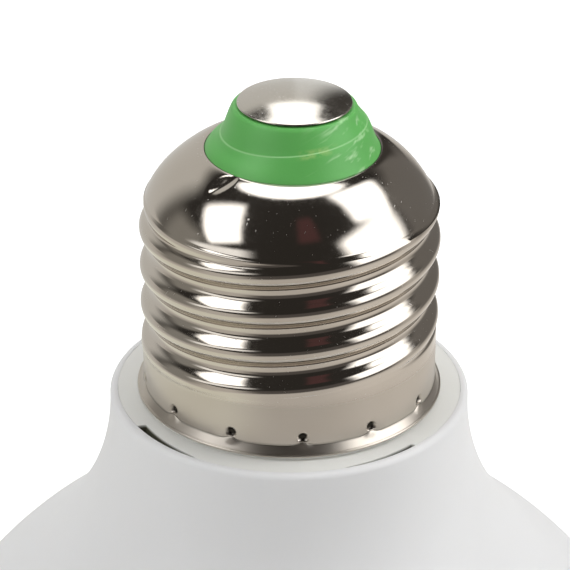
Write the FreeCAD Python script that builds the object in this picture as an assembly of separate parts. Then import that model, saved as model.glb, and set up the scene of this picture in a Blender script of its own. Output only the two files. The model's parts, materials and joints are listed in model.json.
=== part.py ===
import FreeCAD, Part
import math
import os

V = FreeCAD.Vector

# Rechargeable LED bulb with an E27 screw cap, standing cap upwards.
# Millimetres, +Z up. The origin is the tip of the centre contact, on the cap's
# axis, and the photographed side faces -Y. Heights are worked out downwards
# from the contact: insulator, shoulder, thread, skirt, rim, ball.

# Centre contact and its insulator
CONTACT_D = 9.82
CONTACT_RISE = 0.86
CONTACT_EDGE = 0.26
CONTACT_ROUND = 0.12
CONTACT_UNDERCUT = 0.3
CONTACT_STEM_D = 3.2
CONTACT_STEM_L = 6.6
SOLDER_CUP_D = 1.6
SOLDER_CUP_DEPTH = 1.2
INSULATOR_TOP_D = 10.5
INSULATOR_LEDGE_D = 12.6
INSULATOR_LEDGE_H = 2.03
INSULATOR_LEDGE_STEP = 0.12
INSULATOR_BASE_D = 15.0
INSULATOR_H = 3.98
INSULATOR_FLANGE_D = 18.2
INSULATOR_FLANGE_T = 1.1
INSULATOR_FLANGE_DROP = 0.9
STEM_CLEARANCE = 0.03
CAP_HOLE_CLEARANCE = 0.06

# Screw cap
THREAD_MAJOR_D = 26.05
THREAD_MINOR_D = 24.26
THREAD_PITCH = 25.4 / 7.0
THREAD_TURNS = 3
THREAD_RUNOUT = 1.16
FRONT_CREST_DROP = 0.45
CAP_SHEET = 0.3
SHOULDER_D = 25.2
SHOULDER_H = 5.1
SHOULDER_BULGE = 1.42
SHOULDER_FALL = 0.5
SKIRT_D = 25.8
SKIRT_H = 5.5
LIP_D = 26.9
LIP_H = 1.2
LIP_GAP = 0.3
LIP_SEAT_GAP = 0.05
LIP_SEAT_INSET = 0.25
CRIMP_COUNT = 13
CRIMP_D = 0.95
CRIMP_DEPTH = 0.2
CRIMP_ANGLE = 5.3
CRIMP_ABOVE_RIM = 1.93
BLEND = 0.3

# Plastic carrier under the cap
CARRIER_DROP = 1.3
CARRIER_CLEARANCE = 0.14
BARREL_BORE_D = 20.6
FLANGE_D = 30.4
FLANGE_T = 1.6
SPIGOT_D = 28.3
SPIGOT_WALL = 1.5
SPIGOT_DEPTH = 6.4
SPIGOT_CLEARANCE = 0.06
FLANGE_GAP = 0.05
FLANGE_SEAT_GAP = 0.02
HOOK_COUNT = 4
HOOK_WIDTH = 4.0
HOOK_REACH = 0.45
HOOK_H = 1.2
HOOK_ROOT = 0.4
HOOK_GAP = 0.05
HOOK_FOOT = 0.6
LEFT_SLOT = (-59.5, -30.5, 0.75)
RIGHT_SLOT = (45.5, 17.5, 0.40)
SLOT_DEPTH = 1.2

# Housing and diffuser
RIM_D = 31.8
RIM_ROUND = 0.5
GLOBE_D = 77.6
NECK_H = 48.9
HOUSING_WALL = 1.6
SPLIT_BELOW_CENTRE = 2.9
SPLIT_GAP = 0.1
DIFFUSER_WALL = 1.5
LAP_HEIGHT = 2.7
LAP_WALL = 1.25
LAP_CLEARANCE = 0.09
LAP_ROOT = 1.2
BOSS_D = 5.5
BOSS_SINK_GAP = 0.93
BOSS_HOLDER_GAP = 0.25
BOSS_WEB_T = 1.2
BOSS_WEB_LIFT = 1.0

# Heat sink and LED board
SINK_SHEET = 1.2
SINK_CLEARANCE = 0.15
SINK_WALL_H = 22.0
PLATE_DROP = 0.2
LED_BOARD_GAP = 1.75
LED_BOARD_T = 1.6
MAIN_LED_COUNT = 12
LED_SCREW_GAP = 0.3
BACKUP_LED_COUNT = 6
BACKUP_LED_CIRCLE_D = 24.0
LED_L = 3.5
LED_W = 2.8
LED_H = 0.75
LED_LENS_DEPTH = 0.2
SCREW_D = 2.4
SCREW_L = 9.0
SCREW_HEAD_D = 4.8
SCREW_HEAD_H = 1.5
SCREW_DRIVE_D = 1.9
SCREW_DRIVE_DEPTH = 0.9
SCREW_HOLE_GAP = 0.2
SCREW_BITE = 0.02
PILOT_EXTRA = 3.0
LEAD_HOLE_Y = -18.0
LEAD_HOLE_D = 7.6
GROMMET_WALL = 0.9
GROMMET_LIP = 0.9
GROMMET_GAP = 0.05

# Driver board and its parts
BOARD_T = 1.6
BOARD_NARROW_W = 19.8
BOARD_WIDE_W = 24.6
BOARD_DROP = 3.5
BOARD_CELL_GAP = 2.35
BOARD_STEP_GAP = 0.4
GUIDE_T = 0.8
GUIDE_H = 5.0
GUIDE_GAP = 0.06
GUIDE_COVER = 1.6
GUIDE_ROOT = 0.3
PART_GAP = 0.04
PART_SPACE = 1.0
MAINS_CAP_D = 8.0
MAINS_CAP_L = 12.0
OUTPUT_CAP_D = 6.3
OUTPUT_CAP_L = 11.0
CAN_GROOVE = 0.3
CAN_GROOVE_LIFT = 1.6
CAN_ROUND = 0.5
FILM_CAP = (12.0, 5.5, 9.5)
INDUCTOR_D = 8.0
INDUCTOR_L = 9.0
INDUCTOR_FLANGE_T = 1.4
INDUCTOR_WAIST = 0.7
CORE_W = 13.0
CORE_H = 12.4
CORE_T = 6.0
CORE_LIMB = 2.6
CORE_SEAM = 0.2
COIL_D = 11.2
COIL_GAP = 0.1
RECTIFIER = (4.7, 2.6, 3.9)
CHIP = (4.9, 1.6, 3.9)
CHIP_X = 7.6
FUSE_D = 3.2
FUSE_L = 9.0
FUSE_X = -3.6
FUSE_CAP_L = 1.8
FUSE_WAIST = 0.25
TRANSISTOR_D = 4.6
TRANSISTOR_H = 4.6
TRANSISTOR_X = 5.2

# Cell and its holder
CELL_D = 18.0
CELL_ROUND = 0.6
CELL_BUTTON_D = 5.6
CELL_BUTTON_H = 0.6
CELL_CLEARANCE = 0.15
HOLDER_FLOOR = 1.2
HOLDER_W = 20.0
HOLDER_H = 8.0
HOLDER_WALL_GAP = 2.61
HOLDER_END_T = 1.5
HOLDER_END_H = 13.0
HOLDER_END_ROUND = 3.0
PAD_T = 0.8
PAD_MARGIN = 2.0
CELL_BOARD_D = 17.0
CELL_BOARD_T = 1.0
TAB_W = 5.0
TAB_T = 0.2
TAB_L = 11.0
TAB_INSET = 1.0
END_GAP = 0.9

# Leads
LEAD_D = 1.1
LEAD_GAP = 0.03
LEAD_BEND = 0.45

# Radii and heights of the cap, from the contact down to the rim
major_r = THREAD_MAJOR_D / 2
minor_r = THREAD_MINOR_D / 2
skirt_r = SKIRT_D / 2
shoulder_r = SHOULDER_D / 2
hole_r = INSULATOR_BASE_D / 2 + CAP_HOLE_CLEARANCE
insulator_top_z = -(CONTACT_RISE + CONTACT_EDGE)
insulator_base_z = insulator_top_z - INSULATOR_H
shoulder_z = insulator_base_z - SHOULDER_H
front_crest_z = shoulder_z - FRONT_CREST_DROP
skirt_top_z = front_crest_z - THREAD_PITCH * THREAD_TURNS - THREAD_RUNOUT
rim_z = skirt_top_z - SKIRT_H
lip_top_z = rim_z + LIP_H
lip_end_z = rim_z + CAP_SHEET + LIP_GAP

# Knuckle thread: two equal tangent arcs make each half pitch
arc_half = THREAD_PITCH / 4
arc_angle = 2 * math.atan((major_r - minor_r) / (2 * arc_half))
arc_r = arc_half / math.sin(arc_angle)

# Carrier and the housing's collar that its hooks grip
carrier_top_z = shoulder_z - CARRIER_DROP
flange_low_z = rim_z - FLANGE_T
spigot_in_r = SPIGOT_D / 2 - SPIGOT_WALL
spigot_foot_z = flange_low_z - SPIGOT_DEPTH
collar_r = SPIGOT_D / 2 + SPIGOT_CLEARANCE
collar_z = spigot_foot_z + HOOK_H + HOOK_FOOT

# The neck is a hollow arc, upright at the rim and tangent to the ball of the body
rim_r = RIM_D / 2
globe_r = GLOBE_D / 2
globe_z = rim_z - NECK_H
flare_z = rim_z - RIM_ROUND
flare_r = (rim_r ** 2 + (globe_z - flare_z) ** 2 - globe_r ** 2) / (2 * (globe_r - rim_r))
flare_x = rim_r + flare_r
join_r = flare_x * globe_r / (globe_r + flare_r)
join_z = globe_z + (flare_z - globe_z) * globe_r / (globe_r + flare_r)
split_z = globe_z - SPLIT_BELOW_CENTRE


def polar(radius, angle, z=0.0):
    """A point at an angle in degrees from the front, positive to the right."""
    a = math.radians(angle - 90.0)
    return V(radius * math.cos(a), radius * math.sin(a), z)


def outline(start, *steps):
    """A closed wire in the XZ plane. A step is an end point, or (middle, end) of an arc."""
    edges = []
    here = V(start[0], 0, start[1])
    first = here
    for step in steps:
        if isinstance(step[0], tuple):
            middle = V(step[0][0], 0, step[0][1])
            end = V(step[1][0], 0, step[1][1])
            edges.append(Part.Arc(here, middle, end).toShape())
        else:
            end = V(step[0], 0, step[1])
            edges.append(Part.LineSegment(here, end).toShape())
        here = end
    if (here - first).Length > 1e-6:
        edges.append(Part.LineSegment(here, first).toShape())
    return Part.Wire(edges)


def turned(start, *steps):
    """A solid turned about the cap's axis from an outline of (radius, height) points."""
    face = Part.Face(outline(start, *steps))
    return face.revolve(V(0, 0, 0), V(0, 0, 1), 360)


def block(size, centre):
    """A box of (x, y, z) size about its centre."""
    corner = V(centre[0] - size[0] / 2, centre[1] - size[1] / 2, centre[2] - size[2] / 2)
    return Part.makeBox(size[0], size[1], size[2], corner)


def post(radius, height, x, y, z):
    """An upright cylinder from its lower centre."""
    return Part.makeCylinder(radius, height, V(x, y, z))


def rod(radius, length, x, z):
    """A cylinder that lies along X from its left end."""
    return Part.makeCylinder(radius, length, V(x, 0, z), V(1, 0, 0))


def ring_of(shape, count, first_angle=0.0):
    """Copies of a shape spaced evenly about the axis."""
    copies = []
    for i in range(count):
        copy = shape.copy()
        copy.rotate(V(0, 0, 0), V(0, 0, 1), first_angle + 360.0 * i / count)
        copies.append(copy)
    return copies


def ball_point(z, inset=0.0):
    """A point on the body's ball, or on the wall's inner side."""
    return math.sqrt((globe_r - inset) ** 2 - (z - globe_z) ** 2), z


def flare_point(z, inset=0.0):
    """A point on the neck's arc, or on the wall's inner side."""
    return flare_x - math.sqrt((flare_r + inset) ** 2 - (z - flare_z) ** 2), z


def knuckle(offset):
    """Height of the thread over its root, 0 to the full depth, at a distance from a crest."""
    s = abs(offset)
    if s >= 2 * arc_half:
        return 0.0
    if s < arc_half:
        return (major_r - minor_r) - arc_r + math.sqrt(arc_r ** 2 - s ** 2)
    return arc_r - math.sqrt(arc_r ** 2 - (2 * arc_half - s) ** 2)


def smooth_step(x):
    """Eased ramp from 0 to 1."""
    x = min(max(x, 0.0), 1.0)
    return x * x * (3 - 2 * x)


def blend_max(a, b):
    """The larger of two radii, with a rounded corner where they meet."""
    share = min(max(0.5 + (a - b) / (2 * BLEND), 0.0), 1.0)
    return b + (a - b) * share + BLEND * share * (1 - share)


def crest_height(turn, index):
    """How much of a crest is there: the first runs in and the last runs out."""
    if index == 0:
        return smooth_step((0.5 - turn) / 0.35)
    if index == THREAD_TURNS:
        return smooth_step((turn + 0.5) / 0.3)
    return 1.0


def thread_radius(turn, z):
    """Outer radius of the rolled cap. The turn is 0 at the front and runs from -0.5 to 0.5."""
    thread = 0.0
    for index in range(THREAD_TURNS + 1):
        crest_z = front_crest_z + THREAD_PITCH * (turn - index)
        thread = max(thread, knuckle(z - crest_z) * crest_height(turn, index))
    radius = minor_r + thread
    fall = max(shoulder_z - z, 0.0)
    radius = blend_max(radius, shoulder_r - SHOULDER_FALL * fall ** 2)
    rise = smooth_step((skirt_top_z + arc_half - z) / arc_half)
    return blend_max(radius, minor_r - BLEND + (skirt_r - minor_r + BLEND) * rise)


def shoulder_point(t):
    """Radius and height on the drawn shoulder, from the hole (0) to its widest (1)."""
    a = t * math.pi / 2
    power = 2 / SHOULDER_BULGE
    radius = hole_r + (shoulder_r - hole_r) * math.sin(a) ** power
    z = shoulder_z + SHOULDER_H * math.cos(a) ** power
    return radius, z


def cap_section(turn, shoulder_steps=8, thread_steps=36, lip_steps=4):
    """One section of the outer skin as (radius, height), from the hole to the lip."""
    points = []
    for i in range(shoulder_steps + 1):
        points.append(shoulder_point(0.02 + 0.86 * i / shoulder_steps))
    z_start = points[-1][1] - 0.2
    z_end = skirt_top_z - 0.35
    for i in range(thread_steps + 1):
        z = z_start + (z_end - z_start) * i / thread_steps
        points.append((thread_radius(turn, z), z))
    points.append((skirt_r, (z_end + lip_top_z) / 2))
    points.append((skirt_r, lip_top_z + 0.4))
    for i in range(lip_steps + 1):
        a = i / lip_steps * math.pi / 2
        radius = skirt_r + (LIP_D / 2 - skirt_r) * (1 - math.cos(a))
        points.append((radius, lip_top_z - (lip_top_z - lip_end_z) * math.sin(a)))
    return points


def inward(points):
    """The same section moved in by the sheet's thickness, square to its slope."""
    moved = []
    last = len(points) - 1
    for i, point in enumerate(points):
        before = points[max(i - 1, 0)]
        after = points[min(i + 1, last)]
        dr = after[0] - before[0]
        dz = after[1] - before[1]
        length = math.hypot(dr, dz)
        moved.append((point[0] + CAP_SHEET * dz / length, point[1] - CAP_SHEET * dr / length))
    return moved


def skin(section_of, columns=40):
    """A surface through sections set round the axis, closed at the back."""
    rows = []
    for i in range(columns + 1):
        turn = -0.5 + i / columns
        rows.append([polar(r, 360.0 * turn, z) for r, z in section_of(turn)])
    surface = Part.BSplineSurface()
    surface.interpolate(rows)
    return surface


def make_screw_shell():
    """Thin rolled shell: drawn shoulder, knuckle thread, plain skirt and flared lip."""
    outer = skin(cap_section)
    inner = skin(lambda turn: inward(cap_section(turn)))
    outer_top, outer_low = outer.bounds()[2:]
    inner_top, inner_low = inner.bounds()[2:]
    top = Part.makeRuledSurface(outer.vIso(outer_top).toShape(), inner.vIso(inner_top).toShape())
    low = Part.makeRuledSurface(outer.vIso(outer_low).toShape(), inner.vIso(inner_low).toShape())
    faces = Part.Compound([outer.toShape(), inner.toShape(), top, low])
    faces.sewShape(1e-4)
    solid = Part.Solid(faces.Shells[0])
    if solid.Volume < 0:
        solid.reverse()
    punch_r = CRIMP_D * 0.65
    punch = Part.makeSphere(punch_r)
    punch.translate(polar(skirt_r + punch_r - CRIMP_DEPTH, CRIMP_ANGLE, rim_z + CRIMP_ABOVE_RIM))
    return solid.cut(ring_of(punch, CRIMP_COUNT))


def make_centre_contact():
    """Domed contact button with a hollow stem through the insulator."""
    r = CONTACT_D / 2
    dome_r = (r ** 2 + CONTACT_RISE ** 2) / (2 * CONTACT_RISE)
    mid = r * 0.5
    mid_z = -dome_r + math.sqrt(dome_r ** 2 - mid ** 2)
    turn_r = r - CONTACT_ROUND
    turn_z = -dome_r + math.sqrt(dome_r ** 2 - turn_r ** 2)
    edge = turn_z - CONTACT_ROUND
    corner = (turn_r + CONTACT_ROUND * math.sqrt(0.5), edge + CONTACT_ROUND * math.sqrt(0.5))
    stem = CONTACT_STEM_D / 2
    cup = SOLDER_CUP_D / 2
    foot = insulator_top_z - CONTACT_STEM_L
    return turned((0, 0), ((mid, mid_z), (turn_r, turn_z)),
                  (corner, (r, edge)), (r - CONTACT_UNDERCUT, insulator_top_z), (stem, insulator_top_z),
                  (stem, foot), (cup, foot), (cup, foot + SOLDER_CUP_DEPTH),
                  (0, foot + SOLDER_CUP_DEPTH))


def make_contact_insulator():
    """Moulded cone with a ledge, held by a flange under the cap's hole."""
    top_r = INSULATOR_TOP_D / 2
    ledge_r = INSULATOR_LEDGE_D / 2
    base_r = INSULATOR_BASE_D / 2
    ledge_z = insulator_top_z - INSULATOR_LEDGE_H
    neck_r = hole_r - 3 * CAP_HOLE_CLEARANCE
    flange_r = INSULATOR_FLANGE_D / 2
    flange_z = insulator_base_z - CAP_SHEET - INSULATOR_FLANGE_DROP
    bore = CONTACT_STEM_D / 2 + STEM_CLEARANCE
    return turned((bore, insulator_top_z), (top_r, insulator_top_z),
                  (ledge_r - INSULATOR_LEDGE_STEP, ledge_z), (ledge_r, ledge_z),
                  (base_r, insulator_base_z), (neck_r, insulator_base_z),
                  (neck_r, flange_z + INSULATOR_FLANGE_DROP / 2), (flange_r, flange_z),
                  (flange_r, flange_z - INSULATOR_FLANGE_T),
                  (bore, flange_z - INSULATOR_FLANGE_T))


def slot_cutter(wide_angle, thin_angle, width):
    """Crescent that is widest at one end, cut into the flange's edge."""
    r = FLANGE_D / 2
    low = rim_z - SLOT_DEPTH
    span = abs(wide_angle - thin_angle)
    shift = width / (1 - math.cos(math.radians(span)))
    away = polar(shift, thin_angle + 180.0)
    blank = post(r + 1.0, SLOT_DEPTH + 1.0, 0, 0, low)
    core = post(r + shift, SLOT_DEPTH + 3.0, away.x, away.y, low - 1.0)
    corners = [V(0, 0, low - 1.0)]
    for i in range(5):
        angle = thin_angle + (wide_angle - thin_angle) * i / 4
        corners.append(polar(r + 4.0, angle, low - 1.0))
    corners.append(corners[0])
    sector = Part.Face(Part.makePolygon(corners)).extrude(V(0, 0, SLOT_DEPTH + 4.0))
    return blank.cut(core).common(sector)


def make_cap_carrier():
    """Neck insert: barrel inside the cap, ring under its lip, flush flange, spigot with hooks."""
    barrel = minor_r - CAP_SHEET - CARRIER_CLEARANCE
    seat = skirt_r - CAP_SHEET - CARRIER_CLEARANCE
    seat_z = skirt_top_z - 0.5
    bore = BARREL_BORE_D / 2
    ring = LIP_D / 2 - LIP_SEAT_INSET
    ring_z = rim_z + LIP_GAP - LIP_SEAT_GAP
    flange = FLANGE_D / 2
    spigot = SPIGOT_D / 2
    body = turned((bore, carrier_top_z), (barrel, carrier_top_z), (barrel, seat_z),
                  (seat, seat_z - 0.5), (seat, ring_z), (ring, ring_z), (ring, rim_z),
                  (flange, rim_z), (flange, flange_low_z),
                  (spigot, flange_low_z), (spigot, spigot_foot_z), (spigot_in_r, spigot_foot_z),
                  (spigot_in_r, flange_low_z), (bore, flange_low_z + 1.0))
    hook_top = collar_z - HOOK_GAP
    hooks = turned((spigot_in_r + HOOK_ROOT, hook_top), (spigot + HOOK_REACH, hook_top),
                   (spigot, hook_top - HOOK_H), (spigot_in_r + HOOK_ROOT, hook_top - HOOK_H))
    hook = hooks.common(block((HOOK_WIDTH, flange, 3 * HOOK_H), (0, flange / 2, hook_top)))
    body = body.fuse(ring_of(hook, HOOK_COUNT))
    guide_z = flange_low_z - GUIDE_H / 2 - BOARD_STEP_GAP / 2
    guide_y = BOARD_T / 2 + GUIDE_GAP + GUIDE_T / 2
    guide_l = spigot_in_r + GUIDE_ROOT - BOARD_WIDE_W / 2 + GUIDE_COVER
    guide_x = spigot_in_r + GUIDE_ROOT - guide_l / 2
    for x in (-guide_x, guide_x):
        for y in (-guide_y, guide_y):
            body = body.fuse(block((guide_l, GUIDE_T, GUIDE_H), (x, y, guide_z)))
    body = body.cut([slot_cutter(*LEFT_SLOT), slot_cutter(*RIGHT_SLOT)])
    return body.removeSplitter()


def make_housing():
    """Moulded body from the cap's rim to the diffuser, with screw bosses inside."""
    wall = HOUSING_WALL
    counterbore = FLANGE_D / 2 + FLANGE_GAP
    ledge_z = flange_low_z - FLANGE_SEAT_GAP
    in_share = (globe_r - wall) / globe_r
    in_join = (join_r * in_share, globe_z + (join_z - globe_z) * in_share)
    corner = RIM_ROUND * (1 - math.sqrt(0.5))
    neck = (flare_point((flare_z + join_z) / 2), (join_r, join_z))
    ball = (ball_point((join_z + globe_z) / 2), ball_point(split_z))
    in_ball = (ball_point((in_join[1] + globe_z) / 2, wall), in_join)
    in_neck = (flare_point((collar_z + in_join[1]) / 2, wall), flare_point(collar_z, wall))
    shell = turned((counterbore, rim_z), (rim_r - RIM_ROUND, rim_z),
                   ((rim_r - corner, rim_z - corner), (rim_r, flare_z)),
                   neck, ball, ball_point(split_z, wall), in_ball, in_neck,
                   (collar_r, collar_z), (collar_r, ledge_z), (counterbore, ledge_z))
    core = turned((0, flare_z), (rim_r, flare_z), neck, ball, (0, split_z))
    web_low = sink_top_z + BOSS_WEB_LIFT
    web_mid = (flare_z + web_low) / 2
    boss = post(BOSS_D / 2, flare_z - plate_top_z, 0, boss_circle_r, plate_top_z)
    web = block((BOSS_WEB_T, boss_circle_r, flare_z - web_low), (0, boss_circle_r * 1.5, web_mid))
    pilot = post(SCREW_D / 2 - SCREW_BITE, SCREW_L + PILOT_EXTRA, 0, boss_circle_r, plate_top_z)
    posts = at_bosses(boss.fuse(web).common(core))
    return shell.fuse(posts).cut(at_bosses(pilot)).removeSplitter()


# Heat sink: plate across the split, with a cup wall lining the housing
diffuser_lap_r = ball_point(split_z, HOUSING_WALL)[0] - LAP_CLEARANCE
lap_in_r = diffuser_lap_r - LAP_WALL
lap_top_z = split_z + LAP_HEIGHT
plate_low_z = split_z - PLATE_DROP
plate_top_z = plate_low_z + SINK_SHEET
sink_top_z = plate_top_z + SINK_WALL_H
sink_step_z = lap_top_z + SINK_CLEARANCE
sink_outer_inset = HOUSING_WALL + SINK_CLEARANCE
sink_inner_inset = sink_outer_inset + SINK_SHEET
plate_r = lap_in_r - SINK_CLEARANCE
sink_wall_r = plate_r - SINK_SHEET

# Bosses: clear of the sink's upper edge, and the front two clear of the cell's holder
boss_circle_r = ball_point(sink_top_z, sink_inner_inset)[0] - BOSS_D / 2 - BOSS_SINK_GAP
boss_front_y = HOLDER_W / 2 + BOSS_HOLDER_GAP + BOSS_D / 2
boss_turn = 90.0 + math.degrees(math.asin(boss_front_y / boss_circle_r))


def at_bosses(shape):
    """Copies of a shape made for the rear boss, one for each boss."""
    copies = []
    for angle in (0.0, boss_turn, -boss_turn):
        copy = shape.copy()
        copy.rotate(V(0, 0, 0), V(0, 0, 1), angle)
        copies.append(copy)
    return copies


def make_heat_sink():
    """Pressed aluminium cup with a stepped rim that leaves room for the diffuser's lap."""
    outer_inset = sink_outer_inset
    inner_inset = sink_inner_inset
    step_top = sink_step_z + SINK_SHEET
    mid_z = (sink_step_z + sink_top_z) / 2
    cup = turned((0, plate_low_z), (plate_r, plate_low_z), (plate_r, sink_step_z),
                 ball_point(sink_step_z, outer_inset),
                 (ball_point(mid_z, outer_inset), ball_point(sink_top_z, outer_inset)),
                 ball_point(sink_top_z, inner_inset),
                 (ball_point(mid_z, inner_inset), ball_point(step_top, inner_inset)),
                 (sink_wall_r, step_top), (sink_wall_r, plate_top_z), (0, plate_top_z))
    hole = screw_hole(plate_low_z, SINK_SHEET)
    lead_hole = post(LEAD_HOLE_D / 2, 3 * SINK_SHEET, 0, LEAD_HOLE_Y, plate_low_z - SINK_SHEET)
    return cup.cut(at_bosses(hole)).cut(lead_hole)


def screw_hole(low, thickness):
    """Cutter for a screw's clearance hole through a plate."""
    radius = SCREW_D / 2 + SCREW_HOLE_GAP
    return post(radius, 3 * thickness, 0, boss_circle_r, low - thickness)


led_board_low_z = plate_low_z - LED_BOARD_T
main_led_circle_r = boss_circle_r + SCREW_HEAD_D / 2 + LED_SCREW_GAP + LED_W / 2


def make_led_board():
    """Round aluminium board that carries both sets of LEDs."""
    disc = post(lap_in_r - LED_BOARD_GAP, LED_BOARD_T, 0, 0, led_board_low_z)
    slot_r = LEAD_HOLE_D / 2 - GROMMET_WALL
    slot = post(slot_r, 3 * LED_BOARD_T, 0, LEAD_HOLE_Y, led_board_low_z - LED_BOARD_T)
    holes = at_bosses(screw_hole(led_board_low_z, LED_BOARD_T))
    return disc.cut(holes).cut(slot)


def led_ring(count, y, first_angle):
    """LED packages under the board, long side across the radius."""
    body = block((LED_L, LED_W, LED_H), (0, y, led_board_low_z - LED_H / 2))
    lens = Part.makeCone(LED_W * 0.36, LED_W * 0.42, LED_LENS_DEPTH, V(0, y, led_board_low_z - LED_H))
    return Part.Compound(ring_of(body.cut(lens), count, first_angle))


def make_main_leds():
    """Outer ring of LEDs, lit from the mains."""
    return led_ring(MAIN_LED_COUNT, main_led_circle_r, 180.0 / MAIN_LED_COUNT)


def make_backup_leds():
    """Inner ring of LEDs, lit from the cell."""
    return led_ring(BACKUP_LED_COUNT, BACKUP_LED_CIRCLE_D / 2, 0.0)


def make_board_screws():
    """Self-tapping screws through the board and the plate into the bosses."""
    circle = boss_circle_r
    head_low = led_board_low_z - SCREW_HEAD_H
    shank = post(SCREW_D / 2 - SCREW_BITE * 2, SCREW_L, 0, circle, led_board_low_z)
    head = post(SCREW_HEAD_D / 2, SCREW_HEAD_H, 0, circle, head_low)
    rim = [e for e in head.Edges if e.BoundBox.ZMax < head_low + 1e-6]
    head = head.makeFillet(SCREW_HEAD_H * 0.4, rim)
    drive = post(SCREW_DRIVE_D / 2, SCREW_DRIVE_DEPTH, 0, circle, head_low)
    return Part.Compound(at_bosses(head.fuse(shank).cut(drive)))


def make_diffuser():
    """Milky dome with a lap that slides inside the housing's edge."""
    wall = DIFFUSER_WALL
    top = split_z - SPLIT_GAP
    bottom = globe_z - globe_r
    low_mid = globe_z - globe_r * 0.72
    in_mid = globe_z - (globe_r - wall) * 0.72
    return turned((diffuser_lap_r, lap_top_z), (diffuser_lap_r, top), ball_point(top),
                  (ball_point(low_mid), (0, bottom)), (0, bottom + wall),
                  (ball_point(in_mid, wall), ball_point(top - 2 * LAP_ROOT, wall)),
                  (lap_in_r, top - LAP_ROOT), (lap_in_r, lap_top_z))


# The cell lies across the plate, and the driver board stands between it and the cap
pad_top_z = plate_top_z + PAD_T
cell_z = pad_top_z + HOLDER_FLOOR + CELL_CLEARANCE + CELL_D / 2
cell_top_z = cell_z + CELL_D / 2
holder_reach = math.sqrt(sink_wall_r ** 2 - (HOLDER_W / 2) ** 2) - HOLDER_WALL_GAP
right_face_x = holder_reach - HOLDER_END_T - END_GAP - LEAD_D - TAB_T - CELL_BOARD_T
cell_l = 2 * (right_face_x - CELL_BUTTON_H)
left_face_x = -cell_l / 2
board_x = right_face_x + CELL_BOARD_T
holder_left = left_face_x - TAB_T - LEAD_D - END_GAP
holder_right = board_x + TAB_T + LEAD_D + END_GAP
board_top_z = carrier_top_z - BOARD_DROP
board_low_z = cell_top_z + BOARD_CELL_GAP
front_face = BOARD_T / 2 + PART_GAP
transformer_y = front_face + COIL_D / 2


def stack(heights):
    """Middle heights of parts set one below another down the board."""
    top = board_top_z - 1.5 * PART_SPACE
    middles = []
    for height in heights:
        top -= PART_SPACE
        middles.append(top - height / 2)
        top -= height
    return middles


mains_cap_z, film_cap_z, transformer_z = stack((MAINS_CAP_L, FILM_CAP[2], CORE_H))
fuse_z, rectifier_z, inductor_z, output_cap_z = stack(
    (FUSE_L, RECTIFIER[2], INDUCTOR_L, OUTPUT_CAP_L))


def make_driver_board():
    """Board that stands in the neck, narrow in the cap and wide below the flange."""
    step_z = flange_low_z - BOARD_STEP_GAP
    upper_h = board_top_z - step_z
    lower_h = step_z - board_low_z
    upper = block((BOARD_NARROW_W, BOARD_T, upper_h), (0, 0, step_z + upper_h / 2))
    lower = block((BOARD_WIDE_W, BOARD_T, lower_h), (0, 0, step_z - lower_h / 2))
    return upper.fuse(lower).removeSplitter()


def standing_can(diameter, length, y, z):
    """Round can lying along the board, with a rolled groove near its lower end."""
    r = diameter / 2
    low = z - length / 2
    can = post(r, length, 0, y, low)
    ends = [e for e in can.Edges if e.BoundBox.ZLength < 1e-6]
    groove = Part.makeTorus(r + CAN_GROOVE, CAN_GROOVE * 2, V(0, y, low + CAN_GROOVE_LIFT))
    return can.makeFillet(CAN_ROUND, ends).cut(groove)


def make_mains_capacitor():
    """Smoothing capacitor in the cap's barrel."""
    return standing_can(MAINS_CAP_D, MAINS_CAP_L, front_face + MAINS_CAP_D / 2, mains_cap_z)


def make_output_capacitor():
    """Smaller capacitor near the board's lower end."""
    return standing_can(OUTPUT_CAP_D, OUTPUT_CAP_L, -front_face - OUTPUT_CAP_D / 2, output_cap_z)


def make_film_capacitor():
    """Boxed film capacitor."""
    box = block(FILM_CAP, (0, front_face + FILM_CAP[1] / 2, film_cap_z))
    upright = [e for e in box.Edges if e.BoundBox.ZLength > FILM_CAP[2] - 0.01]
    return box.makeFillet(CAN_ROUND, upright)


def make_filter_inductor():
    """Drum-core choke: two flanges and a wound waist."""
    y = -front_face - INDUCTOR_D / 2
    low = inductor_z - INDUCTOR_L / 2
    flange = INDUCTOR_FLANGE_T
    drum = post(INDUCTOR_D / 2, flange, 0, y, low)
    top = post(INDUCTOR_D / 2, flange, 0, y, low + INDUCTOR_L - flange)
    coil = post(INDUCTOR_D / 2 - INDUCTOR_WAIST, INDUCTOR_L - 2 * flange, 0, y, low + flange)
    return drum.fuse([top, coil])


def make_transformer_core():
    """Two E-shaped ferrite halves closed round the coil."""
    window_w = CORE_W - 2 * CORE_LIMB
    window_h = CORE_H - 2 * CORE_LIMB
    limb_h = CORE_H - 2 * CORE_SEAM
    middle = (0, transformer_y, transformer_z)
    frame = block((CORE_W, CORE_T, CORE_H), middle)
    window = block((window_w, 2 * CORE_T, window_h), middle)
    limb = post(CORE_LIMB * 0.85, limb_h, 0, transformer_y, transformer_z - limb_h / 2)
    return frame.cut(window).fuse(limb)


def make_transformer_coil():
    """Bobbin and winding round the core's centre limb."""
    height = CORE_H - 2 * CORE_LIMB - 2 * COIL_GAP
    width = CORE_W - 2 * CORE_LIMB - 2 * COIL_GAP
    low = transformer_z - height / 2
    coil = post(COIL_D / 2, height, 0, transformer_y, low)
    coil = coil.common(block((width, 2 * COIL_D, height), (0, transformer_y, transformer_z)))
    return coil.cut(post(CORE_LIMB * 0.85 + COIL_GAP, 3 * height, 0, transformer_y, low - height))


def make_bridge_rectifier():
    """Small rectifier block on the board's front side."""
    return block(RECTIFIER, (0, -front_face - RECTIFIER[1] / 2, rectifier_z))


def make_control_chips():
    """The lamp's driver chip and the cell's charger chip, either side of the choke."""
    y = -front_face - CHIP[1] / 2
    return Part.Compound([block(CHIP, (x, y, inductor_z)) for x in (-CHIP_X, CHIP_X)])


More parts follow.
